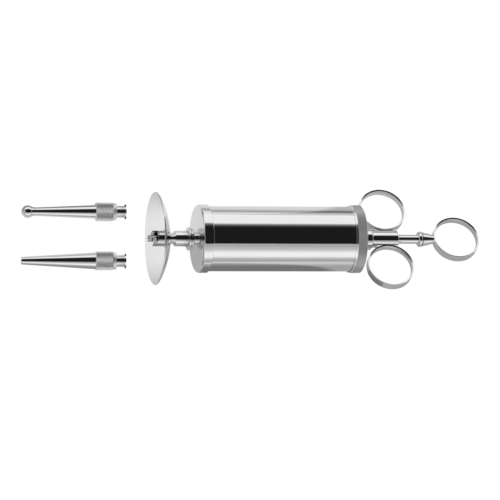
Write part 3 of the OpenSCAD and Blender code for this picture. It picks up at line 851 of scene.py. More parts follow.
def thread_shape():
    """Where the tube's helical thread starts, and the tube's radius over it.

    Over one pitch the ridge rises from its root at 0.3 to full height at 0.7, stays full
    to 0.95 and falls to the next root; the turn's angle shifts it by one pitch a circle.
    """
    barrel = settings("barrel")
    turns = math.floor(barrel.thread_len / barrel.pitch + 0.01)
    first = barrel.length - turns * barrel.pitch

    def shape(radius, place, angle):
        phase = ((place - first) / barrel.pitch - angle / TURN - 0.3) % 1.0
        ridge = np.clip(np.minimum(phase / 0.4, (1.0 - phase) / 0.35), 0, 1)
        run = np.clip((place - first) / (0.8 * barrel.pitch), 0, 1)
        outside = (radius > barrel.radius - barrel.wall / 4) & (place > first)
        return radius - np.where(outside, barrel.thread_depth * (1 - ridge) * run, 0)

    return first, shape


def barrel_tube():
    """The tube: bored, polished, with a thread under the rear cap."""
    barrel = settings("barrel")
    first, shape = thread_shape()
    bore = barrel.radius - barrel.wall
    rows = np.arange(first, barrel.length - 0.1 * MM, barrel.pitch / 14)
    profile = outline(
        (bore, 0), (barrel.radius, 0, 0.1 * MM), (barrel.radius, first - 0.2 * MM),
        at_radius(barrel.radius, rows),
        (barrel.radius - barrel.thread_depth, barrel.length, 0.05 * MM),
        (bore, barrel.length, 0.1 * MM),
    )
    # Painted shade on the tube where the front cap's skirt ends.
    creases = [(barrel.radius, barrel.cap_skirt)]
    lathe("barrel", "barrel_tube", profile, 256, shape=shape, creases=creases)


def front_cap():
    """The domed cap: its dome is an arc, its corner a quarter circle, its face brushed."""
    barrel, nozzle = settings("barrel", "nozzle")
    face, face_r = cap_face(), barrel.cap_radius - barrel.cap_round
    dome_r = (face_r**2 + barrel.cap_dome**2) / (2 * barrel.cap_dome)
    start = math.degrees(math.asin(nozzle.stud_r / dome_r)) - 90
    end = math.degrees(math.asin(face_r / dome_r)) - 90
    inside = barrel.radius - 0.02 * MM
    profile = outline(
        arc(0, face + dome_r, dome_r, start, end, 24),
        arc(face_r, face + barrel.cap_dome + barrel.cap_round, barrel.cap_round, end, 0, 14),
        (barrel.cap_radius, barrel.cap_skirt, 0.3 * MM), (inside, barrel.cap_skirt, 0.05 * MM),
        (inside, 0), (nozzle.stud_r, 0),
    )
    # Painted shade on the cap's face around the nozzle's neck.
    creases = [(nozzle.neck_r, face)]
    lathe("front_cap_dome", "front_cap", profile, 256, creases=creases, brushed_r=face_r)


def stud_split():
    """Where the stud of the stem meets the stud of the cone."""
    return (waist_place() + collar_front() + settings("nozzle").collar_depth) / 2


def nozzle_body():
    """The turned stem: neck, bead, flange, sleeve and the cone to the waist."""
    nozzle = settings("nozzle")
    face, waist, split = cap_face(), waist_place(), stud_split()
    neck = face - nozzle.neck_len
    bead = neck - nozzle.bead_len
    flange = bead - nozzle.flange_len
    hollow = (nozzle.bead_r - nozzle.bead_len / 2 - nozzle.neck_r) / 2
    profile = outline(
        (nozzle.bore, split), (nozzle.inner_stud, split), (nozzle.inner_stud, waist),
        (nozzle.waist_r, waist, 0.05 * MM), (nozzle.sleeve_r, waist + nozzle.waist_cone, 0.3 * MM),
        (nozzle.sleeve_r, flange, 0.25 * MM),
        half_round(nozzle.flange_r, flange, bead),
        half_round(nozzle.bead_r, bead, neck),
        arc(nozzle.neck_r + hollow, neck + hollow, hollow, 270, 180, 8),
        (nozzle.neck_r, face),
        (nozzle.stud_r, face), (nozzle.stud_r, nozzle.nut_len), (nozzle.bore, nozzle.nut_len),
    )
    lathe("nozzle_stem", "nozzle_body", profile, 160)


def hex_nut(name, node, across, hole, start, end):
    """A hexagon nut: the radius is that of a hexagon, cut by a cone at both ends."""
    sixth = TURN / 6

    def shape(radius, place, angle):
        flat = across / 2 / np.cos((angle + sixth / 2) % sixth - sixth / 2)
        cone = across / 2 + 1.6 * np.minimum(place - start, end - place)
        return np.where(radius > hole * 1.01, np.minimum(flat, cone), radius)

    bevel = 0.5 * MM
    rows = np.append(np.linspace(start, start + bevel, 8), np.linspace(end - bevel, end, 8))
    side = at_radius(across / 2 / math.cos(sixth / 2), rows)
    lathe(name, node, outline((hole, start), side, (hole, end)), 180, "brass", shape=shape, sharp=30)


def nozzle_nut():
    """The nut inside the barrel."""
    nozzle = settings("nozzle")
    hex_nut("nozzle_hex", "nozzle_nut", nozzle.nut_af, nozzle.stud_r, 0, nozzle.nut_len)


def lock_collar():
    """The collar with its two lock slots, whose turned parts lie on top and below.

    The outside and the bore share one set of rows and columns over the slots. A column's
    angle is worked out for each radius, so a slot's sides stay parallel. Cells in a slot
    are left out, and walls join the outside to the bore along the slot's edges.
    """
    nozzle = settings("nozzle")
    front, waist, flare, seat = collar_front(), waist_place(), flare_place(), seat_place()
    base = front + nozzle.collar_depth
    end = front + nozzle.slot_depth
    leg = end - nozzle.slot_leg
    r_out, r_in, bevel = nozzle.collar_r, nozzle.collar_bore, 0.4 * MM
    rows = np.concatenate([
        [front], front + bevel * np.array([0.15, 0.5, 0.85, 1.0, 1.1]),
        np.linspace(front + 1.5 * bevel, leg, 8), np.linspace(leg, end, 8)[1:],
        [end + GUARD],
    ])
    slope = np.clip((rows - front) / bevel, 0, 1)
    outside = np.stack([r_out - bevel + bevel * np.sqrt(1 - (1 - slope) ** 2), rows], 1)
    seat_r = r_out + nozzle.seat_h
    lower = outline(
        (r_out, end + 2 * GUARD), (r_out, seat, 0.1 * MM), (seat_r, seat, 0.08 * MM),
        (seat_r, flare, 0.15 * MM), (nozzle.waist_r, waist, 0.05 * MM),
        (nozzle.inner_stud, waist), (nozzle.inner_stud, base), (r_in, base, 0.2 * MM),
        (r_in, end + 2 * GUARD),
        closed=False,
    )
    profile = np.concatenate([outside, lower, at_radius(r_in, rows)[::-1]])

    leg_turn = math.radians(35)

    def breaks(radius):
        """Angles of the slot's sides, of its turned part's end and of the next slot."""
        side = np.arcsin(nozzle.slot_w / 2 / radius)
        return np.stack([-side, side, side + leg_turn, np.pi - side], -1)

    slot_columns, turned_columns, plain_columns = 14, 12, 22
    knots = breaks(np.maximum(profile[:, 0], r_in))
    half_turn = np.concatenate([
        knots[:, i, None] + (knots[:, i + 1] - knots[:, i])[:, None] * np.arange(n) / n
        for i, n in enumerate((slot_columns, turned_columns, plain_columns))
    ], axis=1)
    angle = np.pi / 4 + np.concatenate([half_turn, half_turn + np.pi], axis=1)
    columns = angle.shape[1]
    radius = np.broadcast_to(profile[:, :1], angle.shape)
    place = np.broadcast_to(profile[:, 1:], angle.shape)
    points = syringe_axis().points(place, radius * np.cos(angle), radius * np.sin(angle))

    middle = ((rows[1:] + rows[:-1]) / 2)[:, None]
    column = (np.arange(columns) % (columns // 2))[None]
    legs = (column < slot_columns + turned_columns) & (middle > leg)
    gone = ((column < slot_columns) | legs) & (middle < end)

    quads = grid_quads(len(profile), columns, True).reshape(len(profile), columns, 4)
    keep = np.ones((len(profile), columns), bool)
    keep[: len(rows) - 1] = ~gone
    keep[-len(rows) : -1] = ~gone[::-1]
    keep[-1] = ~gone[0]
    walls = slot_walls(gone, len(profile), columns)
    crease, edge = (np.broadcast_to(v[:, None], angle.shape) for v in hollows(profile, True))
    faces = np.concatenate([quads[keep], walls])
    settle(new_mesh("lock_collar_slotted", points, faces, crease=crease, edge=edge), "lock_collar")


def slot_walls(gone, rows, columns):
    """Quads that join the outside to the bore along the edges of the cells left out."""
    outer = lambda k, j: k * columns + j % columns
    inner = lambda k, j: (rows - 1 - k) * columns + j % columns
    left = np.roll(gone, 1, axis=1)
    above = np.vstack([gone[:1], gone[:-1]])
    walls = []
    for before, down, on in ((left, 1, 0), (above, 0, 1)):
        for cells, keep in ((gone & ~before, on), (~gone & before, down)):
            k, j = np.nonzero(cells)
            ends = outer(k + down, j + on), inner(k + down, j + on)
            quad = np.stack([outer(k, j), *ends, inner(k, j)], 1)
            walls.append(quad if keep else quad[:, ::-1])
    return np.concatenate(walls)


def nozzle_cone():
    """The male cone inside the collar."""
    nozzle = settings("nozzle")
    tip, base, split = tip_place(), collar_front() + nozzle.collar_depth, stud_split()
    root = nozzle.cone_tip_r + (base - tip) * nozzle.cone_grow
    profile = outline(
        (nozzle.cone_bore, tip, 0.1 * MM), (nozzle.cone_tip_r, tip, 0.2 * MM), (root, base),
        (nozzle.inner_stud, base), (nozzle.inner_stud, split), (nozzle.cone_bore, split),
    )
    lathe("nozzle_male_cone", "nozzle_cone", profile, 128)


def splash_shield():
    """The dished shield: two arcs about one centre, joined by a half circle at the rim."""
    shield = settings("shield")
    centre = seat_place() - FACE_GAP - shield.sphere
    half = shield.thick / 2
    inner, middle = shield.sphere - shield.thick, shield.sphere - half
    rim = math.degrees(math.acos((shield.radius - half) / middle))
    hole = lambda radius: math.degrees(math.acos(shield.ferrule_r / radius))
    rim_place = centre + middle * math.sin(math.radians(rim))
    profile = np.concatenate([
        arc(0, centre, inner, hole(inner), rim, 56)[:-1],
        arc(shield.radius - half, rim_place, half, rim - 180, rim, 12)[:-1],
        arc(0, centre, shield.sphere, rim, hole(shield.sphere), 56),
    ])
    lathe("shield_dish", "splash_shield", profile, 256)


def shield_ferrule():
    """The ferrule with its rim in front of the shield."""
    shield = settings("shield")
    rear = seat_place() - FACE_GAP
    front = rear - shield.ferrule_len
    rim = rear - shield.sphere + math.sqrt((shield.sphere - shield.thick) ** 2 - shield.rim_r**2)
    soft = 0.12 * MM
    profile = outline(
        (shield.ferrule_bore, front, soft), (shield.ferrule_r, front, soft),
        (shield.ferrule_r, rim - shield.rim_len, soft),
        (shield.rim_r, rim - shield.rim_len, 2 * soft),
        (shield.rim_r, rim, soft), (shield.ferrule_r, rim),
        (shield.ferrule_r, rear, soft), (shield.ferrule_bore, rear, soft),
    )
    lathe("shield_sleeve", "shield_ferrule", profile, 160)


def washer(name, node, hole, radius, start, thick, edge, finish):
    """A flat ring with rounded edges."""
    end = start + thick
    profile = outline(
        (hole, start, edge), (radius, start, edge), (radius, end, edge), (hole, end, edge)
    )
    lathe(name, node, profile, finish=finish)


def rear_cap():
    """The rear cap; its knurl is a field of pyramids.

    Two families of grooves run at both slopes through every second diamond. The height at
    a point falls with its distance from the nearest ridge line of either family.
    """
    rear = settings("rear")
    back = rear_face()
    front, plate = back - rear.length, back - rear.plate
    lip_r, lip = rear.radius - rear.knurl_h, front + rear.lip_len
    start, end = lip + rear.knurl_h, back - 0.5 * MM
    steps, pit_floor = 12, 1.08

    def shape(radius, place, angle):
        u = (place - start) / rear.knurl_pitch
        v = angle / TURN * rear.knurl_count
        saw = lambda x: 1 - 2 * np.abs((x % 1.0) - 0.5)
        depth = 1 - np.minimum(saw(u + v + 0.5), saw(u - v + 0.5))
        depth = np.clip(depth * pit_floor, 0, 1)
        field = (place > start - 0.2 * MM) & (place < end + 0.01 * MM)
        outside = radius > lip_r + 0.25 * rear.knurl_h
        return radius - np.where(outside & field, rear.knurl_h * depth, 0)

    profile = outline(
        (rear.bore, front, 0.1 * MM), (lip_r, front, 0.2 * MM), (lip_r, lip, 0.05 * MM),
        at_radius(rear.radius, np.arange(start, end, rear.knurl_pitch / steps)),
        (rear.radius, end), (rear.radius - 0.5 * MM, back, 0.15 * MM),
        (rear.stud_r, back), (rear.stud_r, plate), (rear.bore, plate),
    )
    # Painted shade on the cap's back around the rod guide's foot.
    lathe(
        "rear_cap_knurled", "rear_cap", profile, rear.knurl_count * steps, "knurled",
        shape=shape, creases=[(rear.foot_r, back)], sharp=60,
    )


def cap_gasket():
    """The gasket that the rear cap presses on the tube's end."""
    barrel, rear = settings("barrel", "rear")
    hole = barrel.radius - rear.gasket_w
    place = barrel.length + FACE_GAP
    washer("gasket", "cap_gasket", hole, barrel.radius, place, rear.gasket, 0.15 * MM, "fibre")


def rod_guide():
    """The guide tube with its foot, hollowed into the tube, and a rounded end."""
    rear = settings("rear")
    hole = settings("plunger").rod_r + FACE_GAP
    back = rear_face()
    plate, foot, end = back - rear.plate, back + rear.foot_len, back + rear.guide_len
    hollow, round_end = 1.0 * MM, 0.9 * MM
    profile = outline(
        (hole, plate), (rear.stud_r, plate), (rear.stud_r, back),
        (rear.foot_r, back), (rear.foot_r, foot, 0.2 * MM),
        arc(rear.guide_r + hollow, foot + hollow, hollow, 270, 180, 8),
        arc(rear.guide_r - round_end, end - round_end, round_end, 0, 90, 8),
        (hole, end, 0.15 * MM),
    )
    lathe("rod_guide_tube", "rod_guide", profile)


def ring(name, node):
    """A ring turned about its own axis, at the mount of its node's name.

    Its section is flat outside, crowned inside and has sides that slope inwards.
    """
    sizes = settings("ring")
    half = sizes.width / 2
    inner = half - sizes.bevel
    rise = sizes.wall - sizes.edge
    crown = (inner**2 + rise**2) / (2 * rise)
    turn = math.degrees(math.asin(inner / crown))
    top = sizes.bore + sizes.wall
    soft = 0.12 * MM
    crown_arc = arc(sizes.bore + crown, 0, crown, 180 - turn, 180 + turn, 14)
    profile = outline(
        (top, -half, soft), (top, half, soft), (top - sizes.edge, inner, 2 * soft),
        crown_arc[1:-1], (top - sizes.edge, -inner, 2 * soft),
    )
    lathe(name, node, profile, 224, axis=ring_axis(node))


def saddle(name, node, mount):
    """A cradle between the guide and a finger ring.

    Sections across the guide are carried along it. Each section is a rounded square
    whose floor lies on the guide's cylinder and whose top lies on the ring's outside,
    up to the saddle's height; the first and last sections shrink to a point.
    """
    rear, sizes = settings("rear", "ring")
    squareness, sink, ring_sink = 0.35, 0.08 * MM, 0.1 * MM
    axis, centre = syringe_axis(), mount_place(mount)
    middle = float((centre - axis.zero) @ axis.along)
    outward = centre - axis.at(middle)
    side = float(np.linalg.norm(outward))
    lie = TurningAxis(axis.zero, axis.along, outward)
    stations = rear.saddle_len / 2 * np.concatenate([
        [-1, -1, -0.985], np.linspace(-0.96, 0.96, 65), [0.985, 1, 1],
    ])
    shrink = np.ones((len(stations), 1))
    shrink[[0, -1]] = 0.0
    shrink[[1, -2]] = 0.9
    turn = TURN * np.arange(48) / 48
    soften = lambda x: np.sign(x) * np.abs(x) ** squareness
    across = rear.saddle_w / 2 * soften(np.cos(turn)) * shrink
    lift = (soften(np.sin(turn)) * shrink + 1) / 2
    x = stations[:, None]
    floor = np.sqrt(rear.guide_r**2 - across**2) - sink
    ring_r = sizes.bore + sizes.wall - ring_sink
    top = side - np.sqrt(np.maximum(ring_r**2 - x**2, 0))
    top = np.clip(top, floor + 0.05 * MM, rear.guide_r + rear.saddle_h)
    height = floor + lift * (top - floor)
    points = lie.points(middle + np.broadcast_to(x, height.shape), height, -across)
    zero = np.zeros(height.shape)
    settle(poled(name, points, zero, zero, zero, 50), node)


def cup(name, node, web, way):
    """A rubber cup: a web and a lip that points to the side that way says."""
    barrel, plunger = settings("barrel", "plunger")
    cup_r = barrel.radius - barrel.wall - FACE_GAP
    lip_r = cup_r - plunger.cup_lip
    hole = plunger.stud_r + FACE_GAP
    near = web + plunger.web if way < 0 else web
    end, floor = near + way * plunger.cup_len, near + way * plunger.web
    soft = 0.3 * MM
    profile = outline(
        (hole, near, 0.1 * MM), (cup_r, near, soft), (cup_r, end, 0.1 * MM),
        (lip_r + 0.4 * MM, end, soft), (lip_r, end - way * 0.6 * MM, soft),
        (lip_r, floor, soft), (hole, floor, 0.1 * MM),
    )
    lathe(name, node, profile, finish="rubber")


def piston_places():
    """Places of the piston's pieces from its nut to the rod's shoulder."""
    plunger = settings("plunger")
    nut = settings("nozzle").nut_len + plunger.gap
    front_disc = nut + plunger.nut_len
    front_cup = front_disc + plunger.disc + FACE_GAP
    spreader = front_cup + plunger.web + FACE_GAP
    rear_cup = spreader + plunger.spreader + FACE_GAP
    rear_disc = rear_cup + plunger.web + FACE_GAP
    return nut, front_disc, front_cup, spreader, rear_cup, rear_disc, rear_disc + plunger.disc


def piston():
    """The two cups, the discs that hold them and the nut."""
    barrel, plunger = settings("barrel", "plunger")
    nut, front_disc, front_cup, spreader, rear_cup, rear_disc, _ = piston_places()
    cup("piston_cup_front", "front_cup", front_cup, -1)
    cup("piston_cup_rear", "rear_cup", rear_cup, 1)
    disc_r = barrel.radius - barrel.wall - plunger.cup_lip - 3 * FACE_GAP
    for name, node, place, thick in (
        ("piston_disc_front", "front_disc", front_disc, plunger.disc),
        ("piston_disc_middle", "cup_spreader", spreader, plunger.spreader),
        ("piston_disc_rear", "rear_disc", rear_disc, plunger.disc),
    ):
        washer(name, node, plunger.stud_r, disc_r, place, thick, 0.2 * MM, "brass")
    hex_nut("piston_hex", "piston_nut", plunger.nut_af, plunger.stud_r, nut, front_disc)


def piston_rod():
    """The rod with a stud at each end."""
    plunger = settings("plunger")
    stem = stem_place()
    front, shoulder = piston_places()[0], piston_places()[-1]
    end = stem + plunger.stem_stud_len
    profile = outline(
        (0, front), (plunger.stud_r, front, 0.3 * MM), (plunger.stud_r, shoulder),
        (plunger.rod_r, shoulder, 0.3 * MM), (plunger.rod_r, stem), (plunger.stem_stud_r, stem),
        (plunger.stem_stud_r, end, 0.2 * MM), (0, end),
        closed=False,
    )
    lathe("rod", "piston_rod", profile, 128, closed=False)


def ring_stem():
    """The stem: a bead and a cone that ends on the thumb ring."""
    plunger, sizes = settings("plunger", "ring")
    axis = syringe_axis()
    stem = stem_place()
    cone = stem + plunger.bead_len
    thumb = float((mount_place("thumb_ring") - axis.zero) @ axis.along)
    overlap = 0.35 * MM
    end = thumb - sizes.bore - sizes.wall + overlap
    taper = (plunger.end_r - plunger.cone_r) / plunger.cone_len
    end_r = plunger.cone_r + taper * (end - cone)
    socket = stem + plunger.stem_stud_len
    profile = outline(
        (0, socket), (plunger.stem_stud_r, socket), (plunger.stem_stud_r, stem),
        half_round(plunger.bead_r, stem, cone, 20),
        (plunger.cone_r, cone, 0.15 * MM), (end_r, end, 0.3 * MM), (0, end),
        closed=False,
    )
    lathe("thumb_stem", "ring_stem", profile, 160, closed=False)


def tip_places():
    """Places along a tip: front of the grip, its split, the step, the neck and the lugs."""
    tip = settings("tip")
    lugs = tip.length - tip.lug_t
    neck = lugs - tip.neck_len
    step = neck - tip.step_len
    grip = step - tip.grip_len
    return grip, (grip + neck) / 2, step, neck, lugs


def olive(axis):
    """The ball with its hole, and the shaft that narrows to its waist and widens again.

    From the grip the shaft tapers evenly; in front of the waist a power of the way to the
    ball is added, whose exponent lets the shaft meet the ball along its tangent.
    """
    tip = settings("tip")
    grip, split, _, _, _ = tip_places()
    steepness = lambda radius: math.degrees(math.asin(radius / tip.olive_r))
    hole_round = 2.5
    stud = (tip.waist_r + tip.bore) / 2
    flare_r = tip.waist_r + tip.flare
    stud_turn, touch = 90 - steepness(stud), 90 - steepness(flare_r)
    ball = outline(
        arc(0, tip.olive_r, tip.olive_r, steepness(tip.hole_r) - 90 + hole_round, stud_turn, 64),
        (stud, tip.olive_r), (tip.hole_r, tip.olive_r), (tip.hole_r, 0.2 * MM),
    )
    lathe("olive_head", "olive_ball", ball, 160, axis=axis)
    meet = tip.olive_r * (1 + math.sin(math.radians(touch)))
    t = np.linspace(0, 1, 24)
    slope = (tip.root_r - tip.waist_r) / (grip - tip.waist)
    u = meet + (tip.waist - meet) * t
    rise = flare_r - tip.waist_r + (tip.waist - meet) * slope
    power = (math.tan(math.radians(touch)) + slope) * (tip.waist - meet) / rise
    neck = tip.waist_r + (u - tip.waist) * slope + rise * (1 - t) ** power
    shaft = outline(
        (tip.bore, tip.olive_r), (stud, tip.olive_r),
        arc(0, tip.olive_r, tip.olive_r, stud_turn, touch, 4)[:-1],
        np.stack([neck, u], 1),
        (tip.root_r, grip), (tip.stud_r, grip), (tip.stud_r, split), (tip.bore, split),
    )
    lathe("olive_taper", "olive_shaft", shaft, 160, axis=axis)


def cone_taper(axis):
    """The plain tapered shaft of the cone tip."""
    tip = settings("tip")
    grip, split, _, _, _ = tip_places()
    profile = outline(
        (tip.bore, 0, 0.15 * MM), (tip.front_r, 0, 0.25 * MM), (tip.cone_root_r, grip),
        (tip.stud_r, grip), (tip.stud_r, split), (tip.bore, split),
    )
    lathe("cone_taper", "cone_shaft", profile, 160, axis=axis)


def grip(axis, name, node):
    """A grip with straight ridges: the radius follows a triangle wave around the grip."""
    tip = settings("tip")
    front, _, step, neck, _ = tip_places()
    bevel, steps = tip.grip_bevel, 4

    def shape(radius, place, angle):
        wave = np.abs((angle / TURN * tip.ridge_count) % 1.0 - 0.5) * 2
        inside = (radius > tip.step_r + 0.02 * MM) & (place < step)
        depth = np.clip((radius - (tip.grip_r - bevel)) / bevel, 0, 1)
        return radius - np.where(inside, tip.ridge * wave * depth, 0)

    profile = outline(
        (tip.stud_r, front), (tip.grip_r - bevel, front, 0.05 * MM),
        (tip.grip_r, front + bevel, 0.2 * MM), (tip.grip_r, step - bevel, 0.2 * MM),
        (tip.grip_r - bevel, step, 0.02 * MM), (tip.step_r, neck, 0.3 * MM), (tip.stud_r, neck),
    )
    lathe(name, node, profile, tip.ridge_count * steps, "grip", axis, shape=shape, sharp=30)


def lock_end(axis, name, node):
    """The neck and its two lugs; around the lugs the radius is a circle cut by two flats."""
    tip = settings("tip")
    _, split, _, neck, lugs = tip_places()
    end = tip.length

    def shape(radius, place, angle):
        flat = tip.lug_w / 2 / np.maximum(np.abs(np.sin(angle)), 1e-6)
        cut = np.maximum(np.minimum(radius, flat), tip.neck_r + 0.03 * MM)
        return np.where(radius > tip.neck_r + 0.05 * MM, cut, radius)

    soft = 0.12 * MM
    profile = outline(
        (tip.socket_r, split), (tip.stud_r, split), (tip.stud_r, neck),
        (tip.neck_r, neck), (tip.neck_r, lugs, 0.2 * MM),
        (tip.lug_r, lugs, soft), (tip.lug_r, end, soft),
        (tip.neck_r, end), (tip.socket_r, end, soft),
    )
    lathe(name, node, profile, 240, axis=axis, shape=shape)


# Stage; its angles are degrees from straight above, and the right lamp's side is positive

STAGE_RUN = (-1.2, 2.4)
CARD_ABOVE, CARD_LEFT = (-17, 55), (-76, -29)
LAMP_RIGHT, LAMP_LEFT = (55, 90), (-65, -41)
LAMP_DISTANCE = 1.1
LOOK_AT = 33.0 * MM
TABLE_REACH = 4.0


def sheet(name, corners, look):
    """A flat sheet with four corners and a material."""
    mesh = bpy.data.meshes.new(name)
    mesh.from_pydata(corners, [], [(0, 1, 2, 3)])
    mesh.materials.append(look)
    return add_object(name, mesh)


def put(made, x, y, z, middle):
    """Gives an object its three directions and its middle."""
    turn = np.eye(4)
    turn[:3] = np.stack([x, y, z, middle], 1)
    made.matrix_world = Matrix(turn.tolist())


def card(name, angles, glow):
    """A card that only shows in polished metal, a painted reflection; its long edges lie at two
    angles.

    The glow is worked out from the distance beside the syringe, which on a card one metre
    off is the sine of the angle.
    """
    start, end = np.radians(angles)
    edge = lambda a, x: (x, math.sin(a), math.cos(a))
    near, far = STAGE_RUN
    shop = Shop(name)
    light = shop.add("Emission", None, {"Color": glow(shop.place(1)), "Strength": 1.0})
    corners = [edge(start, near), edge(start, far), edge(end, far), edge(end, near)]
    made = sheet(name, corners, shop.output(light))
    for ray in ("camera", "diffuse", "shadow", "transmission"):
        setattr(made, "visible_" + ray, False)


def black_glow(side):
    """A painted dark reflection: black, brightening with the third power of the way from 30 degrees
    to the right lamp.
    """
    run = side.shop.add("MapRange", None, [side, 0.5, 0.819, 0.0, 1.0])
    return run * run * run * 0.75 + 0.013


def left_glow(side):
    """A painted reflection of a soft box with blurred edges in front of the grey room."""
    other = side * -1.0
    return (other.step(0.54, 0.72) - other.step(0.82, 0.94)) * 0.47 + 0.6


def soft_box(name, angles):
    """An area lamp along the syringe between two angles."""
    near, far = STAGE_RUN
    first, second = (
        np.array([0, math.sin(a), math.cos(a)]) * LAMP_DISTANCE for a in np.radians(angles)
    )
    middle = (first + second) / 2 + np.array([(near + far) / 2, 0, 0])
    across = unit(second - first)
    facing = unit(np.cross((1, 0, 0), across))
    if facing @ middle < 0:
        facing = -facing
    lamp = bpy.data.lights.new(name, "AREA")
    lamp.shape = "RECTANGLE"
    lamp.size = float(np.linalg.norm(second - first))
    lamp.size_y = far - near
    lamp.energy = settings("stage").soft_light * math.pi * lamp.size * lamp.size_y
    made = add_object(name, lamp)
    put(made, across, np.cross(across, facing), facing, middle)
    return made


def floor_glow(shop):
    """Painted light and a painted shadow on the table, as the metal sees it.

    On the side of the right lamp it is bright near the syringe, duller at 80 mm and bright
    again far off; on the other side it lies in the shade and brightens slowly. The shade is
    weaker beside the nozzle and the rings, and the table is bright in front of the shield.
    """
    side, ahead = shop.place(1), shop.place(0) * -1.0
    gap = ahead.step(0.030, 0.040)
    rear = ahead.step(-0.060, -0.048, 1.0, 0.0)
    lit = side.step(0.055, 0.080) * -0.34 + side.step(0.085, 0.200) * 0.5
    lit = lit + side.step(0.25, 0.7) * 0.15 + 0.8 - rear * 0.25
    other = side * -1.0
    shade = other.step(0.06, 0.23) * 0.24 + other.step(0.23, 0.45) * 0.1 + 0.21
    shade = shade + gap * 0.27 + rear * 0.22
    beside = shade + (lit - shade) * (side + gap * 0.014).step(0.008, 0.022)
    beyond = side.math("ABSOLUTE", side).step(0.006, 0.026)
    front = ahead.step(0.074, 0.090) * -0.25 + beyond * -0.4 + 0.97
    return beside + (front - beside) * ahead.step(0.058, 0.066)


def floor_plane():
    """The pale table: nearly white to the camera, with a faint shadow; painted to the metal."""
    shop = Shop("table_paper")
    grain = shop.noise(900.0, 3.0)
    tone = shop.blend(grain * 0.2, (0.86, 0.86, 0.86, 1), (0.83, 0.83, 0.83, 1))
    paper = shop.add("BsdfDiffuse", None, {"Color": tone})
    camera_ray, glossy_ray = shop.ray("Camera"), shop.ray("Glossy")
    white = shop.add("Emission", None, {"Color": (1, 1, 1, 1), "Strength": 1.1})
    glow = shop.add("Emission", None, {"Color": floor_glow(shop), "Strength": 1.0})
    seen = shop.add("MixShader", None, [camera_ray * 0.86, paper, white])
    look = shop.output(shop.add("MixShader", None, [glossy_ray, seen, glow]))
    r = TABLE_REACH
    sheet("floor", [(-r, -r, 0), (r, -r, 0), (r, r, 0), (-r, r, 0)], look)


def studio_world():
    """White for the camera, a grey room for the metal and a soft fill for all else."""
    stage = settings("stage")
    shop = Shop("studio", "worlds")
    number = {"data_type": "FLOAT"}
    room = shop.add("Mix", number, {0: shop.ray("Glossy"), 2: stage.fill, 3: stage.room})
    sky = shop.add("Mix", number, {0: shop.ray("Camera"), 2: room, 3: 1.0})
    bpy.context.scene.world = shop.output(shop.add("Background", None, {"Strength": sky}))


def camera():
    """The camera of the photograph: above the table, leaning towards the nozzle."""
    stage = settings("stage")
    lens = bpy.data.cameras.new("camera")
    lens.sensor_width = 36.0
    lens.lens = stage.lens
    lens.clip_start, lens.clip_end = 0.05, 50.0
    made = add_object("camera", lens)
    lean = math.pi / 2 - stage.elevation
    back = np.array([-math.sin(lean), 0, math.cos(lean)])
    level = np.array([math.cos(lean), 0, math.sin(lean)])
    up = np.array([0.0, 1.0, 0.0])
    right = level * math.cos(stage.roll) + up * math.sin(stage.roll)
    up = up * math.cos(stage.roll) - level * math.sin(stage.roll)
    target = syringe_axis().at(LOOK_AT) + np.array([0, -stage.aside, 0])
    put(made, right, up, back, target + back * stage.distance)
    bpy.context.scene.camera = made
    bpy.context.scene.view_settings.view_transform = "Standard"


# Operators, panel and registration

class SYRINGE_OT_barrel(Operator):
    """Build the barrel tube and its front cap"""

    bl_idname = "syringe.barrel"
    bl_label = "Barrel and Front Cap"

    def execute(self, context):
        barrel_tube()
        front_cap()
        return {"FINISHED"}


class SYRINGE_OT_nozzle(Operator):
    """Build the nozzle, its nut, the lock collar and the cone"""

    bl_idname = "syringe.nozzle"
    bl_label = "Nozzle and Lock Collar"

    def execute(self, context):
        nozzle_body()
        nozzle_nut()
        lock_collar()
        nozzle_cone()
        return {"FINISHED"}


class SYRINGE_OT_shield(Operator):
    """Build the splash shield and its ferrule"""

    bl_idname = "syringe.shield"
    bl_label = "Splash Shield"

    def execute(self, context):
        splash_shield()
        shield_ferrule()
        return {"FINISHED"}


class SYRINGE_OT_rear_cap(Operator):
    """Build the knurled rear cap and its gasket"""

    bl_idname = "syringe.rear_cap"
    bl_label = "Rear Cap and Gasket"

    def execute(self, context):
        rear_cap()
        cap_gasket()
        return {"FINISHED"}


class SYRINGE_OT_finger_rings(Operator):
    """Build the rod guide, the saddles and the two finger rings"""

    bl_idname = "syringe.finger_rings"
    bl_label = "Rod Guide and Finger Rings"

    def execute(self, context):
        rod_guide()
        for hand in ("right", "left"):
            mount = "finger_ring_" + hand
            saddle("saddle_" + hand, "ring_saddle_" + hand, mount)
            ring("ring_" + hand, mount)
        return {"FINISHED"}


class SYRINGE_OT_piston(Operator):
    """Build the piston with its cups, discs and nut"""

    bl_idname = "syringe.piston"
    bl_label = "Piston"

    def execute(self, context):
        piston()
        return {"FINISHED"}


class SYRINGE_OT_plunger(Operator):
    """Build the piston rod, the stem and the thumb ring"""

    bl_idname = "syringe.plunger"
    bl_label = "Rod and Thumb Ring"

    def execute(self, context):
        piston_rod()
        ring_stem()
        ring("thumb_loop", "thumb_ring")
        return {"FINISHED"}


class SYRINGE_OT_ear_tips(Operator):
    """Build the olive tip and the cone tip"""

    bl_idname = "syringe.ear_tips"
    bl_label = "Ear Tips"

    def execute(self, context):
        axes = {name: ear_tip_axis(name + "_tip_socket") for name in ("olive", "cone")}
        olive(axes["olive"])
        cone_taper(axes["cone"])
        for name, axis in axes.items():
            grip(axis, name + "_knurl", name + "_grip")
            lock_end(axis, name + "_lugs", name + "_lock")
        return {"FINISHED"}


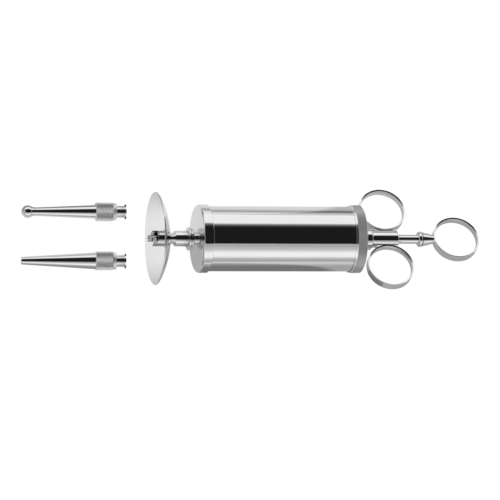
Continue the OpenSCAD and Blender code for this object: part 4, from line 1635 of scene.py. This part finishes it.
class SYRINGE_OT_stage(Operator):
    """Build the table, the studio light and the camera"""

    bl_idname = "syringe.stage"
    bl_label = "Stage"

    def execute(self, context):
        camera()
        floor_plane()
        studio_world()
        card("card_above", CARD_ABOVE, black_glow)
        card("card_left", CARD_LEFT, left_glow)
        soft_box("soft_box_right", LAMP_RIGHT)
        soft_box("soft_box_left", LAMP_LEFT).visible_glossy = False
        return {"FINISHED"}


BUILDERS = (
    SYRINGE_OT_barrel,
    SYRINGE_OT_nozzle,
    SYRINGE_OT_shield,
    SYRINGE_OT_rear_cap,
    SYRINGE_OT_finger_rings,
    SYRINGE_OT_piston,
    SYRINGE_OT_plunger,
    SYRINGE_OT_ear_tips,
    SYRINGE_OT_stage,
)
GROUPS = {
    "syringe_barrel": BarrelSizes,
    "syringe_nozzle": NozzleSizes,
    "syringe_shield": ShieldSizes,
    "syringe_rear": RearSizes,
    "syringe_ring": RingSizes,
    "syringe_plunger": PlungerSizes,
    "syringe_tip": TipSizes,
    "syringe_finishes": Finishes,
    "syringe_stage": StageSizes,
}


class SYRINGE_PT_panel(Panel):
    """Lists the builders and their sizes."""

    bl_idname = "SYRINGE_PT_panel"
    bl_label = "Ear Syringe"
    bl_space_type = "VIEW_3D"
    bl_region_type = "UI"
    bl_category = "Syringe"

    def draw(self, context):
        for builder in BUILDERS:
            self.layout.operator(builder.bl_idname)
        for key, group in GROUPS.items():
            box = self.layout.box()
            box.label(text=group.__doc__)
            for field in group.__annotations__:
                box.prop(getattr(context.scene, key), field)


def register():
    for group in GROUPS.values():
        bpy.utils.register_class(group)
    for builder in (*BUILDERS, SYRINGE_PT_panel):
        bpy.utils.register_class(builder)
    for key, group in GROUPS.items():
        setattr(bpy.types.Scene, key, PointerProperty(type=group))


def unregister():
    for key in GROUPS:
        delattr(bpy.types.Scene, key)
    for cls in (SYRINGE_PT_panel, *BUILDERS, *GROUPS.values()):
        bpy.utils.unregister_class(cls)


def corners(box):
    """A box as plain lists."""
    return [[float(c) for c in corner] for corner in box]


def main():
    """Builds the whole syringe and its stage."""
    register()
    for builder in BUILDERS:
        group, name = builder.bl_idname.split(".")
        getattr(getattr(bpy.ops, group), name)()


if __name__ == "__main__":
    main()
